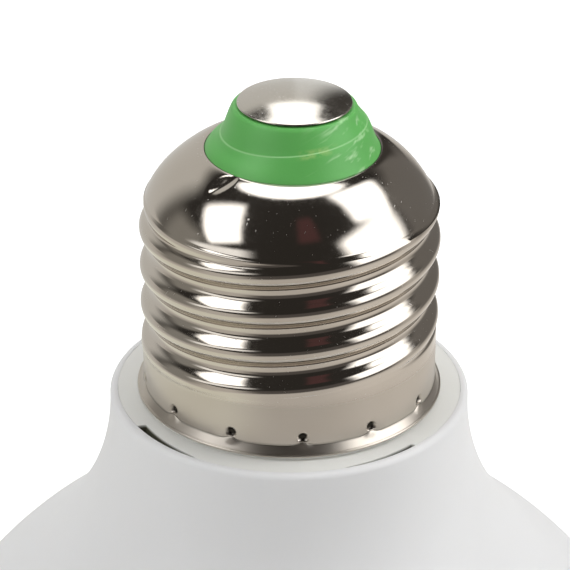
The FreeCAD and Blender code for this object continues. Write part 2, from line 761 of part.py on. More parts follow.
def make_fuse_resistor():
    """Fusible resistor near the board's top, dumbbell-shaped."""
    y = -front_face - FUSE_D / 2
    low = fuse_z - FUSE_L / 2
    body = post(FUSE_D / 2 - FUSE_WAIST, FUSE_L, FUSE_X, y, low)
    low_cap = post(FUSE_D / 2, FUSE_CAP_L, FUSE_X, y, low)
    top_cap = post(FUSE_D / 2, FUSE_CAP_L, FUSE_X, y, low + FUSE_L - FUSE_CAP_L)
    return body.fuse([low_cap, top_cap])


def make_switch_transistor():
    """Plastic transistor with one flat side towards the board."""
    y = -front_face - TRANSISTOR_D * 0.3
    body = post(TRANSISTOR_D / 2, TRANSISTOR_H, TRANSISTOR_X, y, fuse_z - TRANSISTOR_H / 2)
    flat = block((2 * TRANSISTOR_D, TRANSISTOR_D, 2 * TRANSISTOR_H),
                 (TRANSISTOR_X, -front_face + TRANSISTOR_D / 2, fuse_z))
    return body.cut(flat)


def make_battery_cell():
    """Lithium cell with a positive button, in its sleeve."""
    can = rod(CELL_D / 2, cell_l, left_face_x, cell_z)
    ends = [e for e in can.Edges if e.BoundBox.XLength < 1e-6]
    button = rod(CELL_BUTTON_D / 2, 2 * CELL_BUTTON_H, right_face_x - 2 * CELL_BUTTON_H, cell_z)
    return can.makeFillet(CELL_ROUND, ends).fuse(button)


def make_cell_board():
    """Protection board on the cell's positive end."""
    return rod(CELL_BOARD_D / 2, CELL_BOARD_T, right_face_x, cell_z)


def make_cell_tabs():
    """Nickel strips spot-welded to the cell and soldered to its board."""
    z = cell_top_z - TAB_INSET - TAB_L / 2
    left = block((TAB_T, TAB_W, TAB_L), (left_face_x - TAB_T / 2, 0, z))
    right = block((TAB_T, TAB_W, TAB_L), (board_x + TAB_T / 2, 0, z))
    return Part.Compound([left, right])


def make_cell_holder():
    """Saddle under the cell with a wall at each end."""
    length = holder_right - holder_left
    centre_x = (holder_left + holder_right) / 2
    saddle = block((length, HOLDER_W, HOLDER_H), (centre_x, 0, pad_top_z + HOLDER_H / 2))
    holder = saddle.cut(rod(CELL_D / 2 + CELL_CLEARANCE, length + 2, holder_left - 1, cell_z))
    top_z = pad_top_z + HOLDER_END_H
    for x in (holder_left - HOLDER_END_T / 2, holder_right + HOLDER_END_T / 2):
        wall = block((HOLDER_END_T, HOLDER_W, HOLDER_END_H), (x, 0, top_z - HOLDER_END_H / 2))
        corners = [e for e in wall.Edges if e.BoundBox.YLength < 1e-6 and e.BoundBox.ZMin > top_z - 1e-6]
        holder = holder.fuse(wall.makeFillet(HOLDER_END_ROUND, corners))
    return holder.removeSplitter()


def make_cell_pad():
    """Double-sided foam pad between the holder and the heat sink."""
    length = holder_right - holder_left - 2 * PAD_MARGIN
    width = HOLDER_W - PAD_MARGIN
    centre_x = (holder_left + holder_right) / 2
    return block((length, width, PAD_T), (centre_x, 0, plate_top_z + PAD_T / 2))


def make_lead_grommet():
    """Rubber bush in the plate's lead hole."""
    r = LEAD_HOLE_D / 2 - GROMMET_GAP
    sleeve = post(r, SINK_SHEET, 0, LEAD_HOLE_Y, plate_low_z)
    collar = post(r + GROMMET_LIP, GROMMET_WALL, 0, LEAD_HOLE_Y, plate_top_z)
    bore_r = LEAD_HOLE_D / 2 - GROMMET_WALL
    bore = post(bore_r, 4 * SINK_SHEET, 0, LEAD_HOLE_Y, plate_low_z - SINK_SHEET)
    return sleeve.fuse(collar).cut(bore).removeSplitter()


def lead(points):
    """Round insulated wire along straight runs joined by tangent arcs."""
    corners = [V(*p) for p in points]
    edges = []
    radii = []
    here = corners[0]
    for before, corner, after in zip(corners, corners[1:], corners[2:]):
        into = corner - before
        out = after - corner
        turn = into.getAngle(out)
        cut = LEAD_BEND * min(into.Length, out.Length)
        start = corner - into.normalize() * cut
        end = corner + out.normalize() * cut
        radius = cut / math.tan(turn / 2)
        reach = radius / math.cos(turn / 2) - radius
        middle = corner + (out - into).normalize() * reach
        edges.append(Part.LineSegment(here, start).toShape())
        edges.append(Part.Arc(start, middle, end).toShape())
        radii.append(round(radius, 1))
        here = end
    edges.append(Part.LineSegment(here, corners[-1]).toShape())
    profile = Part.Wire(Part.makeCircle(LEAD_D / 2, corners[0], corners[1] - corners[0]))
    print("lead bend radii", radii)
    return Part.Wire(edges).makePipeShell([profile], True, True)


lead_y = BOARD_T / 2 + LEAD_D / 2 + LEAD_GAP
solder_z = insulator_top_z - CONTACT_STEM_L + SOLDER_CUP_DEPTH


def make_live_lead():
    """From the board's top to the cup in the contact's stem."""
    return lead([(-4.6, lead_y, board_top_z - 2.4), (-4.6, lead_y, board_top_z + 1.6),
                 (0, 0, solder_z - 4.6), (0, 0, solder_z)])


def make_neutral_lead():
    """From the board's top over the barrel's edge to the inside of the cap."""
    wall_r = shoulder_r - CAP_SHEET - LEAD_D
    over_z = carrier_top_z + 1.3
    return lead([(6.2, lead_y, board_top_z - 2.4), (6.2, lead_y, board_top_z + 2.6),
                 (8.4, 3.0, over_z), (wall_r * 0.93, wall_r * 0.36, over_z)])


def make_led_leads():
    """Pair of leads from the board, past the cell and through the grommet."""
    low = led_board_low_z - LEAD_D / 2 - LEAD_GAP
    pair = []
    for side in (-1, 1):
        near = side * 1.3
        pair.append(lead([(side * 5.0, -lead_y, board_low_z + 4.0),
                          (side * 5.0, -lead_y - 0.4, board_low_z - 0.7),
                          (side * 3.2, -11.4, cell_top_z - 2.1),
                          (near, -16.6, cell_top_z - 10.1),
                          (near, LEAD_HOLE_Y, plate_top_z + 3.0), (near, LEAD_HOLE_Y, low),
                          (near, LEAD_HOLE_Y + 4.2, low)]))
    return Part.Compound(pair)


def make_cell_leads():
    """Pair of leads from the cell's tabs up to the board."""
    pair = []
    for side, face in ((-1, left_face_x - TAB_T), (1, board_x + TAB_T)):
        x = face + side * (LEAD_D / 2 + LEAD_GAP)
        pair.append(lead([(x, 0, cell_top_z - 7.0), (x, -0.9, cell_top_z + 4.6),
                          (side * 18.0, -2.8, board_low_z + 4.0),
                          (side * 9.6, -lead_y - 0.3, board_low_z + 4.6),
                          (side * 9.6, -lead_y, board_low_z + 10.2)]))
    return Part.Compound(pair)


PARTS = {
    "centre_contact": make_centre_contact,
    "contact_insulator": make_contact_insulator,
    "screw_shell": make_screw_shell,
    "cap_carrier": make_cap_carrier,
    "housing": make_housing,
    "diffuser": make_diffuser,
    "heat_sink": make_heat_sink,
    "led_board": make_led_board,
    "main_leds": make_main_leds,
    "backup_leds": make_backup_leds,
    "board_screws": make_board_screws,
    "driver_board": make_driver_board,
    "mains_capacitor": make_mains_capacitor,
    "output_capacitor": make_output_capacitor,
    "film_capacitor": make_film_capacitor,
    "filter_inductor": make_filter_inductor,
    "transformer_core": make_transformer_core,
    "transformer_coil": make_transformer_coil,
    "bridge_rectifier": make_bridge_rectifier,
    "control_chips": make_control_chips,
    "fuse_resistor": make_fuse_resistor,
    "switch_transistor": make_switch_transistor,
    "battery_cell": make_battery_cell,
    "cell_board": make_cell_board,
    "cell_tabs": make_cell_tabs,
    "cell_holder": make_cell_holder,
    "cell_pad": make_cell_pad,
    "lead_grommet": make_lead_grommet,
    "live_lead": make_live_lead,
    "neutral_lead": make_neutral_lead,
    "led_leads": make_led_leads,
    "cell_leads": make_cell_leads,
}

os.makedirs("parts", exist_ok=True)
for name, make in PARTS.items():
    shape = make()
    shape.exportStep("parts/" + name + ".step")
    print(name, "solids", len(shape.Solids), "volume", round(shape.Volume, 2), "valid", shape.isValid())
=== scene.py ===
import json
import logging
import math
from dataclasses import dataclass, field
from enum import Enum
from typing import Callable, Sequence

import bmesh
import bpy
from mathutils import Matrix, Vector


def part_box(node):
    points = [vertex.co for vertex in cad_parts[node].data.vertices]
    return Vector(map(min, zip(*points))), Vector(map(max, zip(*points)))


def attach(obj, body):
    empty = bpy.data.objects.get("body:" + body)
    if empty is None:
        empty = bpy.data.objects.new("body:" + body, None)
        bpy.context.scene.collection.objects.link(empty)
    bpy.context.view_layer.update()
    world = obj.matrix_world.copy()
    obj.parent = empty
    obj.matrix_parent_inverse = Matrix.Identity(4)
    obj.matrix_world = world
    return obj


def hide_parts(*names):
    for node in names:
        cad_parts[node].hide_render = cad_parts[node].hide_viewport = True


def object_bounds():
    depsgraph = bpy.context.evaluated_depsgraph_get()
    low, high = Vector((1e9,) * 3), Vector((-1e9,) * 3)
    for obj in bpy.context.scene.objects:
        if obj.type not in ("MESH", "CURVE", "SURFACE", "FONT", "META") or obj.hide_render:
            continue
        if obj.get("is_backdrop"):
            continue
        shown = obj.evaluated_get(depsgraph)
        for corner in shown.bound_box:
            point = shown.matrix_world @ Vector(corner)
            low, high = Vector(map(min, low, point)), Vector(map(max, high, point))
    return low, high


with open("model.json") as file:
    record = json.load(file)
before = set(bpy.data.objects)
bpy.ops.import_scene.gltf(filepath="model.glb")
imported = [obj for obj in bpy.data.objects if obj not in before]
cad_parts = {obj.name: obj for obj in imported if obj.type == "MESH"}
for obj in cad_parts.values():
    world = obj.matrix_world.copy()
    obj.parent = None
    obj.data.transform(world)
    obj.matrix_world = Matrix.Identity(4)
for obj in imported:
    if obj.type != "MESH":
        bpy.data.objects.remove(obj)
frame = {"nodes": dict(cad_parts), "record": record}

log = logging.getLogger("led_bulb")

Point = tuple[float, float]
Color = tuple[float, float, float]

MM = 0.001
BODY = "root"


# Small mathematics shared by the pieces


def smooth_step(x: float) -> float:
    """Eased ramp from 0 to 1.

    Args:
        x: Where on the ramp, below 0 and above 1 held at the ends.

    Returns:
        The eased value.
    """
    x = min(max(x, 0.0), 1.0)
    return x * x * (3.0 - 2.0 * x)


def blend_max(a: float, b: float, width: float) -> float:
    """The larger of two values, with a rounded corner where they meet.

    Args:
        a: First value.
        b: Second value.
        width: How wide the rounded corner is.

    Returns:
        The blended value.
    """
    share = min(max(0.5 + (a - b) / (2.0 * width), 0.0), 1.0)
    return b + (a - b) * share + width * share * (1.0 - share)


def arc(centre: Point, radius: float, start: float, end: float, steps: int) -> list[Point]:
    """A round stretch of an outline.

    Args:
        centre: Centre as (radius, height).
        radius: Radius of the stretch.
        start: First angle in degrees, 0 outwards and 90 upwards.
        end: Last angle in degrees.
        steps: Number of intervals.

    Returns:
        Points as (radius, height), both ends included.
    """
    points = []
    for i in range(steps + 1):
        angle = math.radians(start + (end - start) * i / steps)
        points.append((centre[0] + radius * math.cos(angle), centre[1] + radius * math.sin(angle)))
    return points


def turn_of(co: Vector) -> float:
    """Where a point stands round the axis, as a share of a turn.

    Args:
        co: A point.

    Returns:
        0 at the front, positive to the right, from -0.5 to 0.5 at the back.
    """
    turn = (math.atan2(co.y, co.x) + math.pi / 2.0) / (2.0 * math.pi)
    return (turn + 0.5) % 1.0 - 0.5


def polar(radius: float, degrees: float, height: float) -> Vector:
    """A point from its radius, its angle from the front and its height.

    Args:
        radius: Distance from the axis.
        degrees: Angle from the front, positive to the right.
        height: Height.

    Returns:
        The point.
    """
    angle = math.radians(degrees - 90.0)
    return Vector((radius * math.cos(angle), radius * math.sin(angle), height))


def lean(height: float) -> float:
    """How far the cap's top stands off the axis, to the right.

    Args:
        height: Height in millimetres.

    Returns:
        The shift: none at the thread, 0.2 at the hole's edge and 0.34 at the contact.
    """
    hole_z = -5.1
    if height > hole_z:
        return 0.2 + 0.034 * (height - hole_z)
    return 0.2 * smooth_step((height + 9.0) / 3.9)


# Meshes


def spun_mesh(outline: Sequence[Point], columns: int, closed: bool = True) -> bmesh.types.BMesh:
    """Turns an outline of (radius, height) points about the bulb's axis.

    Args:
        outline: Points in millimetres, running round the section.
        columns: Number of steps round the axis.
        closed: Whether the last point joins the first.

    Returns:
        A mesh in millimetres.
    """
    mesh = bmesh.new()
    verts = [mesh.verts.new((radius, 0.0, height)) for radius, height in outline]
    edges = [mesh.edges.new(pair) for pair in zip(verts, verts[1:])]
    if closed:
        edges.append(mesh.edges.new((verts[-1], verts[0])))
    bmesh.ops.spin(mesh, geom=verts + edges, cent=(0, 0, 0), axis=(0, 0, 1),
                   angle=2.0 * math.pi, steps=columns, use_merge=True)
    bmesh.ops.remove_doubles(mesh, verts=mesh.verts, dist=1e-5)
    bmesh.ops.recalc_face_normals(mesh, faces=mesh.faces)
    return mesh


def finish_piece(name: str, mesh: bmesh.types.BMesh, sharp: float = 40.0) -> bpy.types.Object:
    """Makes an object of a finished mesh and lets it ride on the bulb.

    Args:
        name: The piece's name.
        mesh: Mesh in millimetres, which is used up.
        sharp: Edges that turn by more degrees than this stay crisp.

    Returns:
        The object, at the origin, with its place in its mesh.
    """
    bmesh.ops.scale(mesh, vec=(MM, MM, MM), verts=mesh.verts)
    bmesh.ops.recalc_face_normals(mesh, faces=mesh.faces)
    for edge in mesh.edges:
        if len(edge.link_faces) == 2 and edge.calc_face_angle(0.0) > math.radians(sharp):
            edge.smooth = False
    for face in mesh.faces:
        face.smooth = True
    data = bpy.data.meshes.new(name)
    mesh.to_mesh(data)
    mesh.free()
    piece = bpy.data.objects.new(name, data)
    bpy.context.scene.collection.objects.link(piece)
    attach(piece, BODY)
    log.info("%s: %d faces", name, len(data.polygons))
    return piece


# Shader building blocks


class Nodes:
    """Short calls for building one node tree."""

    def __init__(self, tree: bpy.types.NodeTree) -> None:
        """Keeps the tree.

        Args:
            tree: The tree to add nodes to.
        """
        self.tree = tree

    def add(self, kind: str, inputs: dict | None = None, **settings: object) -> bpy.types.Node:
        """Adds a node, with plain values or links for its inputs.

        Args:
            kind: The node's class name.
            inputs: Socket name or number to a value or to another socket.
            settings: Properties of the node.

        Returns:
            The node.
        """
        node = self.tree.nodes.new(kind)
        for key, value in settings.items():
            setattr(node, key, value)
        for key, value in (inputs or {}).items():
            if isinstance(value, bpy.types.NodeSocket):
                self.tree.links.new(value, node.inputs[key])
            else:
                node.inputs[key].default_value = value
        return node

    def link(self, source: bpy.types.NodeSocket, target: bpy.types.NodeSocket) -> None:
        """Joins two sockets."""
        self.tree.links.new(source, target)

    def math(self, operation: str, a: object, b: object = 0.0, clamp: bool = False) -> bpy.types.NodeSocket:
        """A Math node.

        Args:
            operation: Its operation.
            a: First value or socket.
            b: Second value or socket.
            clamp: Whether the result is held from 0 to 1.

        Returns:
            The result.
        """
        return self.add("ShaderNodeMath", {0: a, 1: b}, operation=operation, use_clamp=clamp).outputs[0]

    def effect(self, group: bpy.types.NodeTree, inputs: dict) -> bpy.types.Node:
        """Places a shared effect.

        Args:
            group: The effect.
            inputs: Its values.

        Returns:
            The group node.
        """
        return self.add("ShaderNodeGroup", inputs, node_tree=group)

    def ramp(self, value: object, low: float, high: float, to_low: float = 0.0,
             to_high: float = 1.0) -> bpy.types.NodeSocket:
        """A smooth change of one value into another.

        Args:
            value: The value that changes.
            low: Where the change starts.
            high: Where it ends.
            to_low: Result at the start.
            to_high: Result at the end.

        Returns:
            The result.
        """
        node = self.add("ShaderNodeMapRange", {0: value, 1: low, 2: high, 3: to_low, 4: to_high},
                        interpolation_type="SMOOTHSTEP")
        return node.outputs[0]

    def mix(self, share: object, a: object, b: object) -> bpy.types.NodeSocket:
        """A mix of two colours.

        Args:
            share: How much of the second.
            a: First colour or socket.
            b: Second colour or socket.

        Returns:
            The mixed colour.
        """
        node = self.add("ShaderNodeMix", data_type="RGBA")
        for index, value in ((0, share), (6, a), (7, b)):
            if isinstance(value, bpy.types.NodeSocket):
                self.link(value, node.inputs[index])
            elif isinstance(value, tuple):
                node.inputs[index].default_value = (*value, 1.0)
            else:
                node.inputs[index].default_value = value
        return node.outputs[2]


def shader_group(name: str, inputs: dict[str, tuple[str, float]], outputs: Sequence[str],
                 build: Callable[[Nodes, bpy.types.Node, bpy.types.Node], None]) -> bpy.types.NodeTree:
    """Builds a shared effect once.

    Args:
        name: The effect's name.
        inputs: Socket name to its type and default.
        outputs: Names of the values it puts out.
        build: Function that fills the group.

    Returns:
        The group.
    """
    tree = bpy.data.node_groups.new(name, "ShaderNodeTree")
    for label, (kind, default) in inputs.items():
        socket = tree.interface.new_socket(label, in_out="INPUT", socket_type=kind)
        if kind == "NodeSocketFloat":
            socket.default_value = default
    for label in outputs:
        tree.interface.new_socket(label, in_out="OUTPUT", socket_type="NodeSocketFloat")
    start = tree.nodes.new("NodeGroupInput")
    end = tree.nodes.new("NodeGroupOutput")
    build(Nodes(tree), start, end)
    return tree


def build_dust(n: Nodes, start: bpy.types.Node, end: bpy.types.Node) -> None:
    """Scattered specks and short hair scratches.

    Args:
        n: The group's nodes.
        start: The group's inputs.
        end: The group's outputs.
    """
    size = start.outputs["Scale"]
    cells = n.add("ShaderNodeTexVoronoi", {"Vector": start.outputs["Vector"], "Scale": size})
    chance = n.add("ShaderNodeSeparateColor", {0: cells.outputs["Color"]})
    near = n.ramp(cells.outputs["Distance"], 0.05, 0.11, 1.0, 0.0)
    some = n.math("GREATER_THAN", chance.outputs[0], start.outputs["Rarity"])
    n.link(n.math("MULTIPLY", near, some), end.inputs["Specks"])
    hairs: bpy.types.NodeSocket | None = None
    for turn in ((0.3, 0.9, 0.5), (1.1, 0.2, -0.8), (-0.5, 0.4, 1.9)):
        turned = n.add("ShaderNodeVectorRotate", {"Vector": start.outputs["Vector"], "Rotation": turn},
                       rotation_type="EULER_XYZ")
        stretch = n.add("ShaderNodeVectorMath", {0: turned.outputs[0], 1: (0.16, 3.0, 3.0)}, operation="MULTIPLY")
        long_cells = n.add("ShaderNodeTexVoronoi", {"Vector": stretch.outputs[0], "Scale": size})
        pick = n.add("ShaderNodeSeparateColor", {0: long_cells.outputs["Color"]})
        hair = n.math("MULTIPLY", n.ramp(long_cells.outputs["Distance"], 0.05, 0.11, 1.0, 0.0),
                      n.math("GREATER_THAN", pick.outputs[0], 0.7))
        hairs = hair if hairs is None else n.math("MAXIMUM", hairs, hair)
    n.link(hairs, end.inputs["Scratches"])


def build_grain(n: Nodes, start: bpy.types.Node, end: bpy.types.Node) -> None:
    """Fine grain with a slow drift of tone.

    Args:
        n: The group's nodes.
        start: The group's inputs.
        end: The group's outputs.
    """
    fine = n.add("ShaderNodeTexNoise", {"Vector": start.outputs["Vector"], "Scale": start.outputs["Scale"],
                                        "Detail": 4.0, "Roughness": 0.6})
    slow = n.add("ShaderNodeTexNoise", {"Vector": start.outputs["Vector"],
                                        "Scale": n.math("MULTIPLY", start.outputs["Scale"], 0.04), "Detail": 2.0})
    n.link(fine.outputs["Fac"], end.inputs["Height"])
    n.link(n.ramp(slow.outputs["Fac"], 0.3, 0.7), end.inputs["Drift"])


class Effects:
    """The shader groups that several finishes place."""

    def __init__(self) -> None:
        """Builds each group once."""
        vector = {"Vector": ("NodeSocketVector", 0.0)}
        self.dust = shader_group("dust_and_scratches", {**vector, "Scale": ("NodeSocketFloat", 900.0),
                                                        "Rarity": ("NodeSocketFloat", 0.9)},
                                 ("Specks", "Scratches"), build_dust)
        self.grain = shader_group("fine_grain", {**vector, "Scale": ("NodeSocketFloat", 3000.0)},
                                  ("Height", "Drift"), build_grain)


@dataclass(frozen=True)
class Canvas:
    """A material in the making: its nodes, its shader, Object coordinates and the shared effects."""

    n: Nodes
    shader: bpy.types.Node
    place: bpy.types.NodeSocket
    effects: Effects


@dataclass(frozen=True)
class Finish:
    """A surface of the bulb. Each kind of surface adds its own nodes."""

    name: str
    color: Color
    roughness: float = 0.5
    metallic: float = 0.0
    grain_scale: float = 3000.0
    grain_depth: float = 0.02
    drift: float = 0.08

    def material(self, effects: Effects) -> bpy.types.Material:
        """Builds the material.

        Args:
            effects: The shared shader groups.

        Returns:
            The finished material.
        """
        mat = bpy.data.materials.new(self.name)
        mat.use_nodes = True
        mat.node_tree.nodes.clear()
        n = Nodes(mat.node_tree)
        out = n.add("ShaderNodeOutputMaterial")
        shader = n.add("ShaderNodeBsdfPrincipled", {"Metallic": self.metallic, "Roughness": self.roughness})
        n.link(shader.outputs[0], out.inputs[0])
        place = n.add("ShaderNodeTexCoord").outputs["Object"]
        self.dress(Canvas(n, shader, place, effects))
        mat.diffuse_color = (*self.color, 1.0)
        return mat

    def dress(self, canvas: Canvas) -> None:
        """Adds colour, roughness and grain.

        Args:
            canvas: The material in the making.
        """
        n, shader, place = canvas.n, canvas.shader, canvas.place
        grain = n.effect(canvas.effects.grain, {"Vector": place, "Scale": self.grain_scale})
        darker = tuple(c * (1.0 - self.drift) for c in self.color)
        n.link(n.mix(grain.outputs["Drift"], self.color, darker), shader.inputs["Base Color"])
        rough = n.ramp(grain.outputs["Height"], 0.3, 0.7, self.roughness * 0.9, self.roughness * 1.1)
        n.link(rough, shader.inputs["Roughness"])
        self.bump(n, shader, grain.outputs["Height"], self.grain_depth)

    @staticmethod
    def bump(n: Nodes, shader: bpy.types.Node, height: bpy.types.NodeSocket, depth: float,
             strength: float = 1.0) -> None:
        """Gives the shader a bump.

        Args:
            n: The material's nodes.
            shader: Its shader.
            height: Height from 0 to 1.
            depth: Depth in millimetres.
            strength: Share of the effect.
        """
        node = n.add("ShaderNodeBump", {"Height": height, "Distance": depth * MM, "Strength": strength})
        n.link(node.outputs[0], shader.inputs["Normal"])


@dataclass(frozen=True)
class PlatedNickel(Finish):
    """Bright nickel on drawn sheet: mottled, finely scratched, with satin below a height, and painted shade in the
    crimps and the crease over the lip.
    """

    satin: float = 0.3
    satin_below: float = -1.0
    scratch_scale: float = 900.0
    warm: Color = (0.50, 0.44, 0.36)
    # Colour of the painted shade in the crimps and the crease over the lip.
    crevice_shade: Color = (0.02, 0.018, 0.014)

    def dress(self, canvas: Canvas) -> None:
        """Adds the mottled plating, specks, scratches and the satin zone.

        Args:
            canvas: The material in the making.
        """
        n, shader, place = canvas.n, canvas.shader, canvas.place
        grain = n.effect(canvas.effects.grain, {"Vector": place, "Scale": self.grain_scale})
        dust = n.effect(canvas.effects.dust, {"Vector": place, "Scale": self.scratch_scale, "Rarity": 0.86})
        tint = n.mix(n.math("MULTIPLY", grain.outputs["Drift"], self.drift), self.color, self.warm)
        marks = n.math("MAXIMUM", dust.outputs["Specks"], dust.outputs["Scratches"])
        n.link(n.mix(n.math("MULTIPLY", marks, 0.35), tint, (0.75, 0.73, 0.70)), shader.inputs["Base Color"])
        height = n.add("ShaderNodeSeparateXYZ", {0: place}).outputs[2]
        zone = n.ramp(height, (self.satin_below - 0.5) * MM, (self.satin_below + 0.5) * MM, 1.0, 0.0)
        plain = n.ramp(grain.outputs["Height"], 0.35, 0.7, self.roughness * 0.8, self.roughness * 1.25)
        rough = n.add("ShaderNodeMix", {0: zone, 2: plain, 3: self.satin}).outputs[0]
        n.link(n.math("ADD", rough, n.math("MULTIPLY", marks, 0.25), clamp=True), shader.inputs["Roughness"])
        self.add_crevice_shade(n, shader)
        relief = n.math("SUBTRACT", grain.outputs["Height"], n.math("MULTIPLY", marks, 0.6))
        self.bump(n, shader, relief, self.grain_depth)

    def add_crevice_shade(self, n: Nodes, shader: bpy.types.Node) -> None:
        """Paints shade into the crimps and the crease over the lip, where the mesh says so.

        Args:
            n: The material's nodes.
            shader: Its shader.
        """
        # Painted shade: a mesh attribute darkens the crimps and the crease.
        crevice_shade = n.add("ShaderNodeAttribute", attribute_name="crevice_shade", attribute_type="GEOMETRY").outputs["Fac"]
        unshaded_tint = shader.inputs["Base Color"].links[0].from_socket
        n.link(n.mix(crevice_shade, unshaded_tint, self.crevice_shade), shader.inputs["Base Color"])


@dataclass(frozen=True)
class GreenMoulding(Finish):
    """Green plastic with a pale tilted parting line and scuffs on its right side."""

    line_height: float = -3.15
    line_tilt: float = 0.09
    line_width: float = 0.07
    pale: Color = (0.42, 0.70, 0.36)
    yellowed: Color = (0.50, 0.62, 0.22)

    def dress(self, canvas: Canvas) -> None:
        """Adds the parting line, the scuffs and the grain.

        Args:
            canvas: The material in the making.
        """
        n, shader, place = canvas.n, canvas.shader, canvas.place
        grain = n.effect(canvas.effects.grain, {"Vector": place, "Scale": self.grain_scale})
        axes = n.add("ShaderNodeSeparateXYZ", {0: place})
        level = n.math("SUBTRACT", axes.outputs[2], n.math("MULTIPLY", axes.outputs[0], self.line_tilt))
        off = n.math("ABSOLUTE", n.math("SUBTRACT", level, self.line_height * MM))
        line = n.ramp(off, 0.3 * self.line_width * MM, self.line_width * MM, 1.0, 0.0)
        darker = tuple(c * (1.0 - self.drift) for c in self.color)
        base = n.mix(grain.outputs["Drift"], self.color, darker)
        right = n.math("MULTIPLY", n.ramp(axes.outputs[0], 0.6 * MM, 3.2 * MM),
                       n.ramp(axes.outputs[1], -1.0 * MM, -2.0 * MM))
        scuff = n.math("MULTIPLY", self.streaks(n, place, 0.42, 0.36), right)
        smear = n.math("MULTIPLY", n.ramp(off, 0.1 * MM, 0.45 * MM, 1.0, 0.0),
                       n.ramp(axes.outputs[0], 0.3 * MM, 1.2 * MM))
        smear = n.math("MULTIPLY", smear, n.ramp(axes.outputs[0], 4.2 * MM, 2.4 * MM))
        smear = n.math("MULTIPLY", smear, n.ramp(grain.outputs["Height"], 0.35, 0.6))
        lined = n.mix(n.math("MULTIPLY", line, 0.4), base, self.pale)
        scuffed = n.mix(n.math("MULTIPLY", scuff, 0.75), lined, self.pale)
        n.link(n.mix(n.math("MULTIPLY", smear, 0.4), scuffed, self.yellowed), shader.inputs["Base Color"])
        shader.inputs["Subsurface Weight"].default_value = 0.12
        shader.inputs["Subsurface Scale"].default_value = 0.8 * MM
        shader.inputs["Subsurface Radius"].default_value = (0.5, 1.0, 0.4)
        self.bump(n, shader, n.math("ADD", grain.outputs["Height"], line), self.grain_depth)

    @staticmethod
    def streaks(n: Nodes, place: bpy.types.NodeSocket, azimuth: float, rise: float) -> bpy.types.NodeSocket:
        """Long thin marks that run one way.

        Args:
            n: The material's nodes.
            place: Object coordinates.
            azimuth: Which way they run, in radians from the right.
            rise: How much they rise, in radians.

        Returns:
            1 on a mark.
        """
        turned = n.add("ShaderNodeVectorRotate", {"Vector": place, "Rotation": (0.0, -rise, azimuth)},
                       rotation_type="EULER_XYZ", invert=True)
        long = n.add("ShaderNodeVectorMath", {0: turned.outputs[0], 1: (0.16, 1.3, 2.2)}, operation="MULTIPLY")
        noise = n.add("ShaderNodeTexNoise", {"Vector": long.outputs[0], "Scale": 800.0, "Detail": 2.0,
                                             "Roughness": 0.5})
        return n.ramp(noise.outputs["Fac"], 0.54, 0.70)


@dataclass(frozen=True)
class WhiteMoulding(Finish):
    """White plastic with a spark-eroded grain, slightly translucent."""

    translucence: float = 0.1
    depth: float = 1.2

    def dress(self, canvas: Canvas) -> None:
        """Adds grain and light that goes under the surface.

        Args:
            canvas: The material in the making.
        """
        super().dress(canvas)
        shader = canvas.shader
        shader.inputs["Subsurface Weight"].default_value = self.translucence
        shader.inputs["Subsurface Scale"].default_value = self.depth * MM
        shader.inputs["Subsurface Radius"].default_value = (1.0, 0.9, 0.8)


@dataclass(frozen=True)
class NeckMoulding(WhiteMoulding):
    """White plastic with painted shade down in the slots at the flange's edge."""

    # Painted shade in the slots: its top height, its ring of radii and its colour.
    slot_shade_top: float = -28.22
    slot_shade_from: float = 14.2
    slot_shade_to: float = 15.4
    slot_shade: Color = (0.10, 0.10, 0.065)

    def dress(self, canvas: Canvas) -> None:
        """Adds the plastic and painted shade below the flange's face, in the slots.

        Args:
            canvas: The material in the making.
        """
        super().dress(canvas)
        n, shader, place = canvas.n, canvas.shader, canvas.place
        axes = n.add("ShaderNodeSeparateXYZ", {0: place})
        flat = n.add("ShaderNodeCombineXYZ", {0: axes.outputs[0], 1: axes.outputs[1]})
        radius = n.add("ShaderNodeVectorMath", {0: flat.outputs[0]}, operation="LENGTH").outputs["Value"]
        # Painted shade: darkens the plastic below the flange's face, within the ring of the slots.
        deep = n.ramp(axes.outputs[2], (self.slot_shade_top - 0.3) * MM, self.slot_shade_top * MM, 1.0, 0.0)
        ring = n.math("MULTIPLY", n.math("GREATER_THAN", radius, self.slot_shade_from * MM),
                      n.math("LESS_THAN", radius, self.slot_shade_to * MM))
        unshaded_plastic = shader.inputs["Base Color"].links[0].from_socket
        n.link(n.mix(n.math("MULTIPLY", deep, ring), unshaded_plastic, self.slot_shade), shader.inputs["Base Color"])


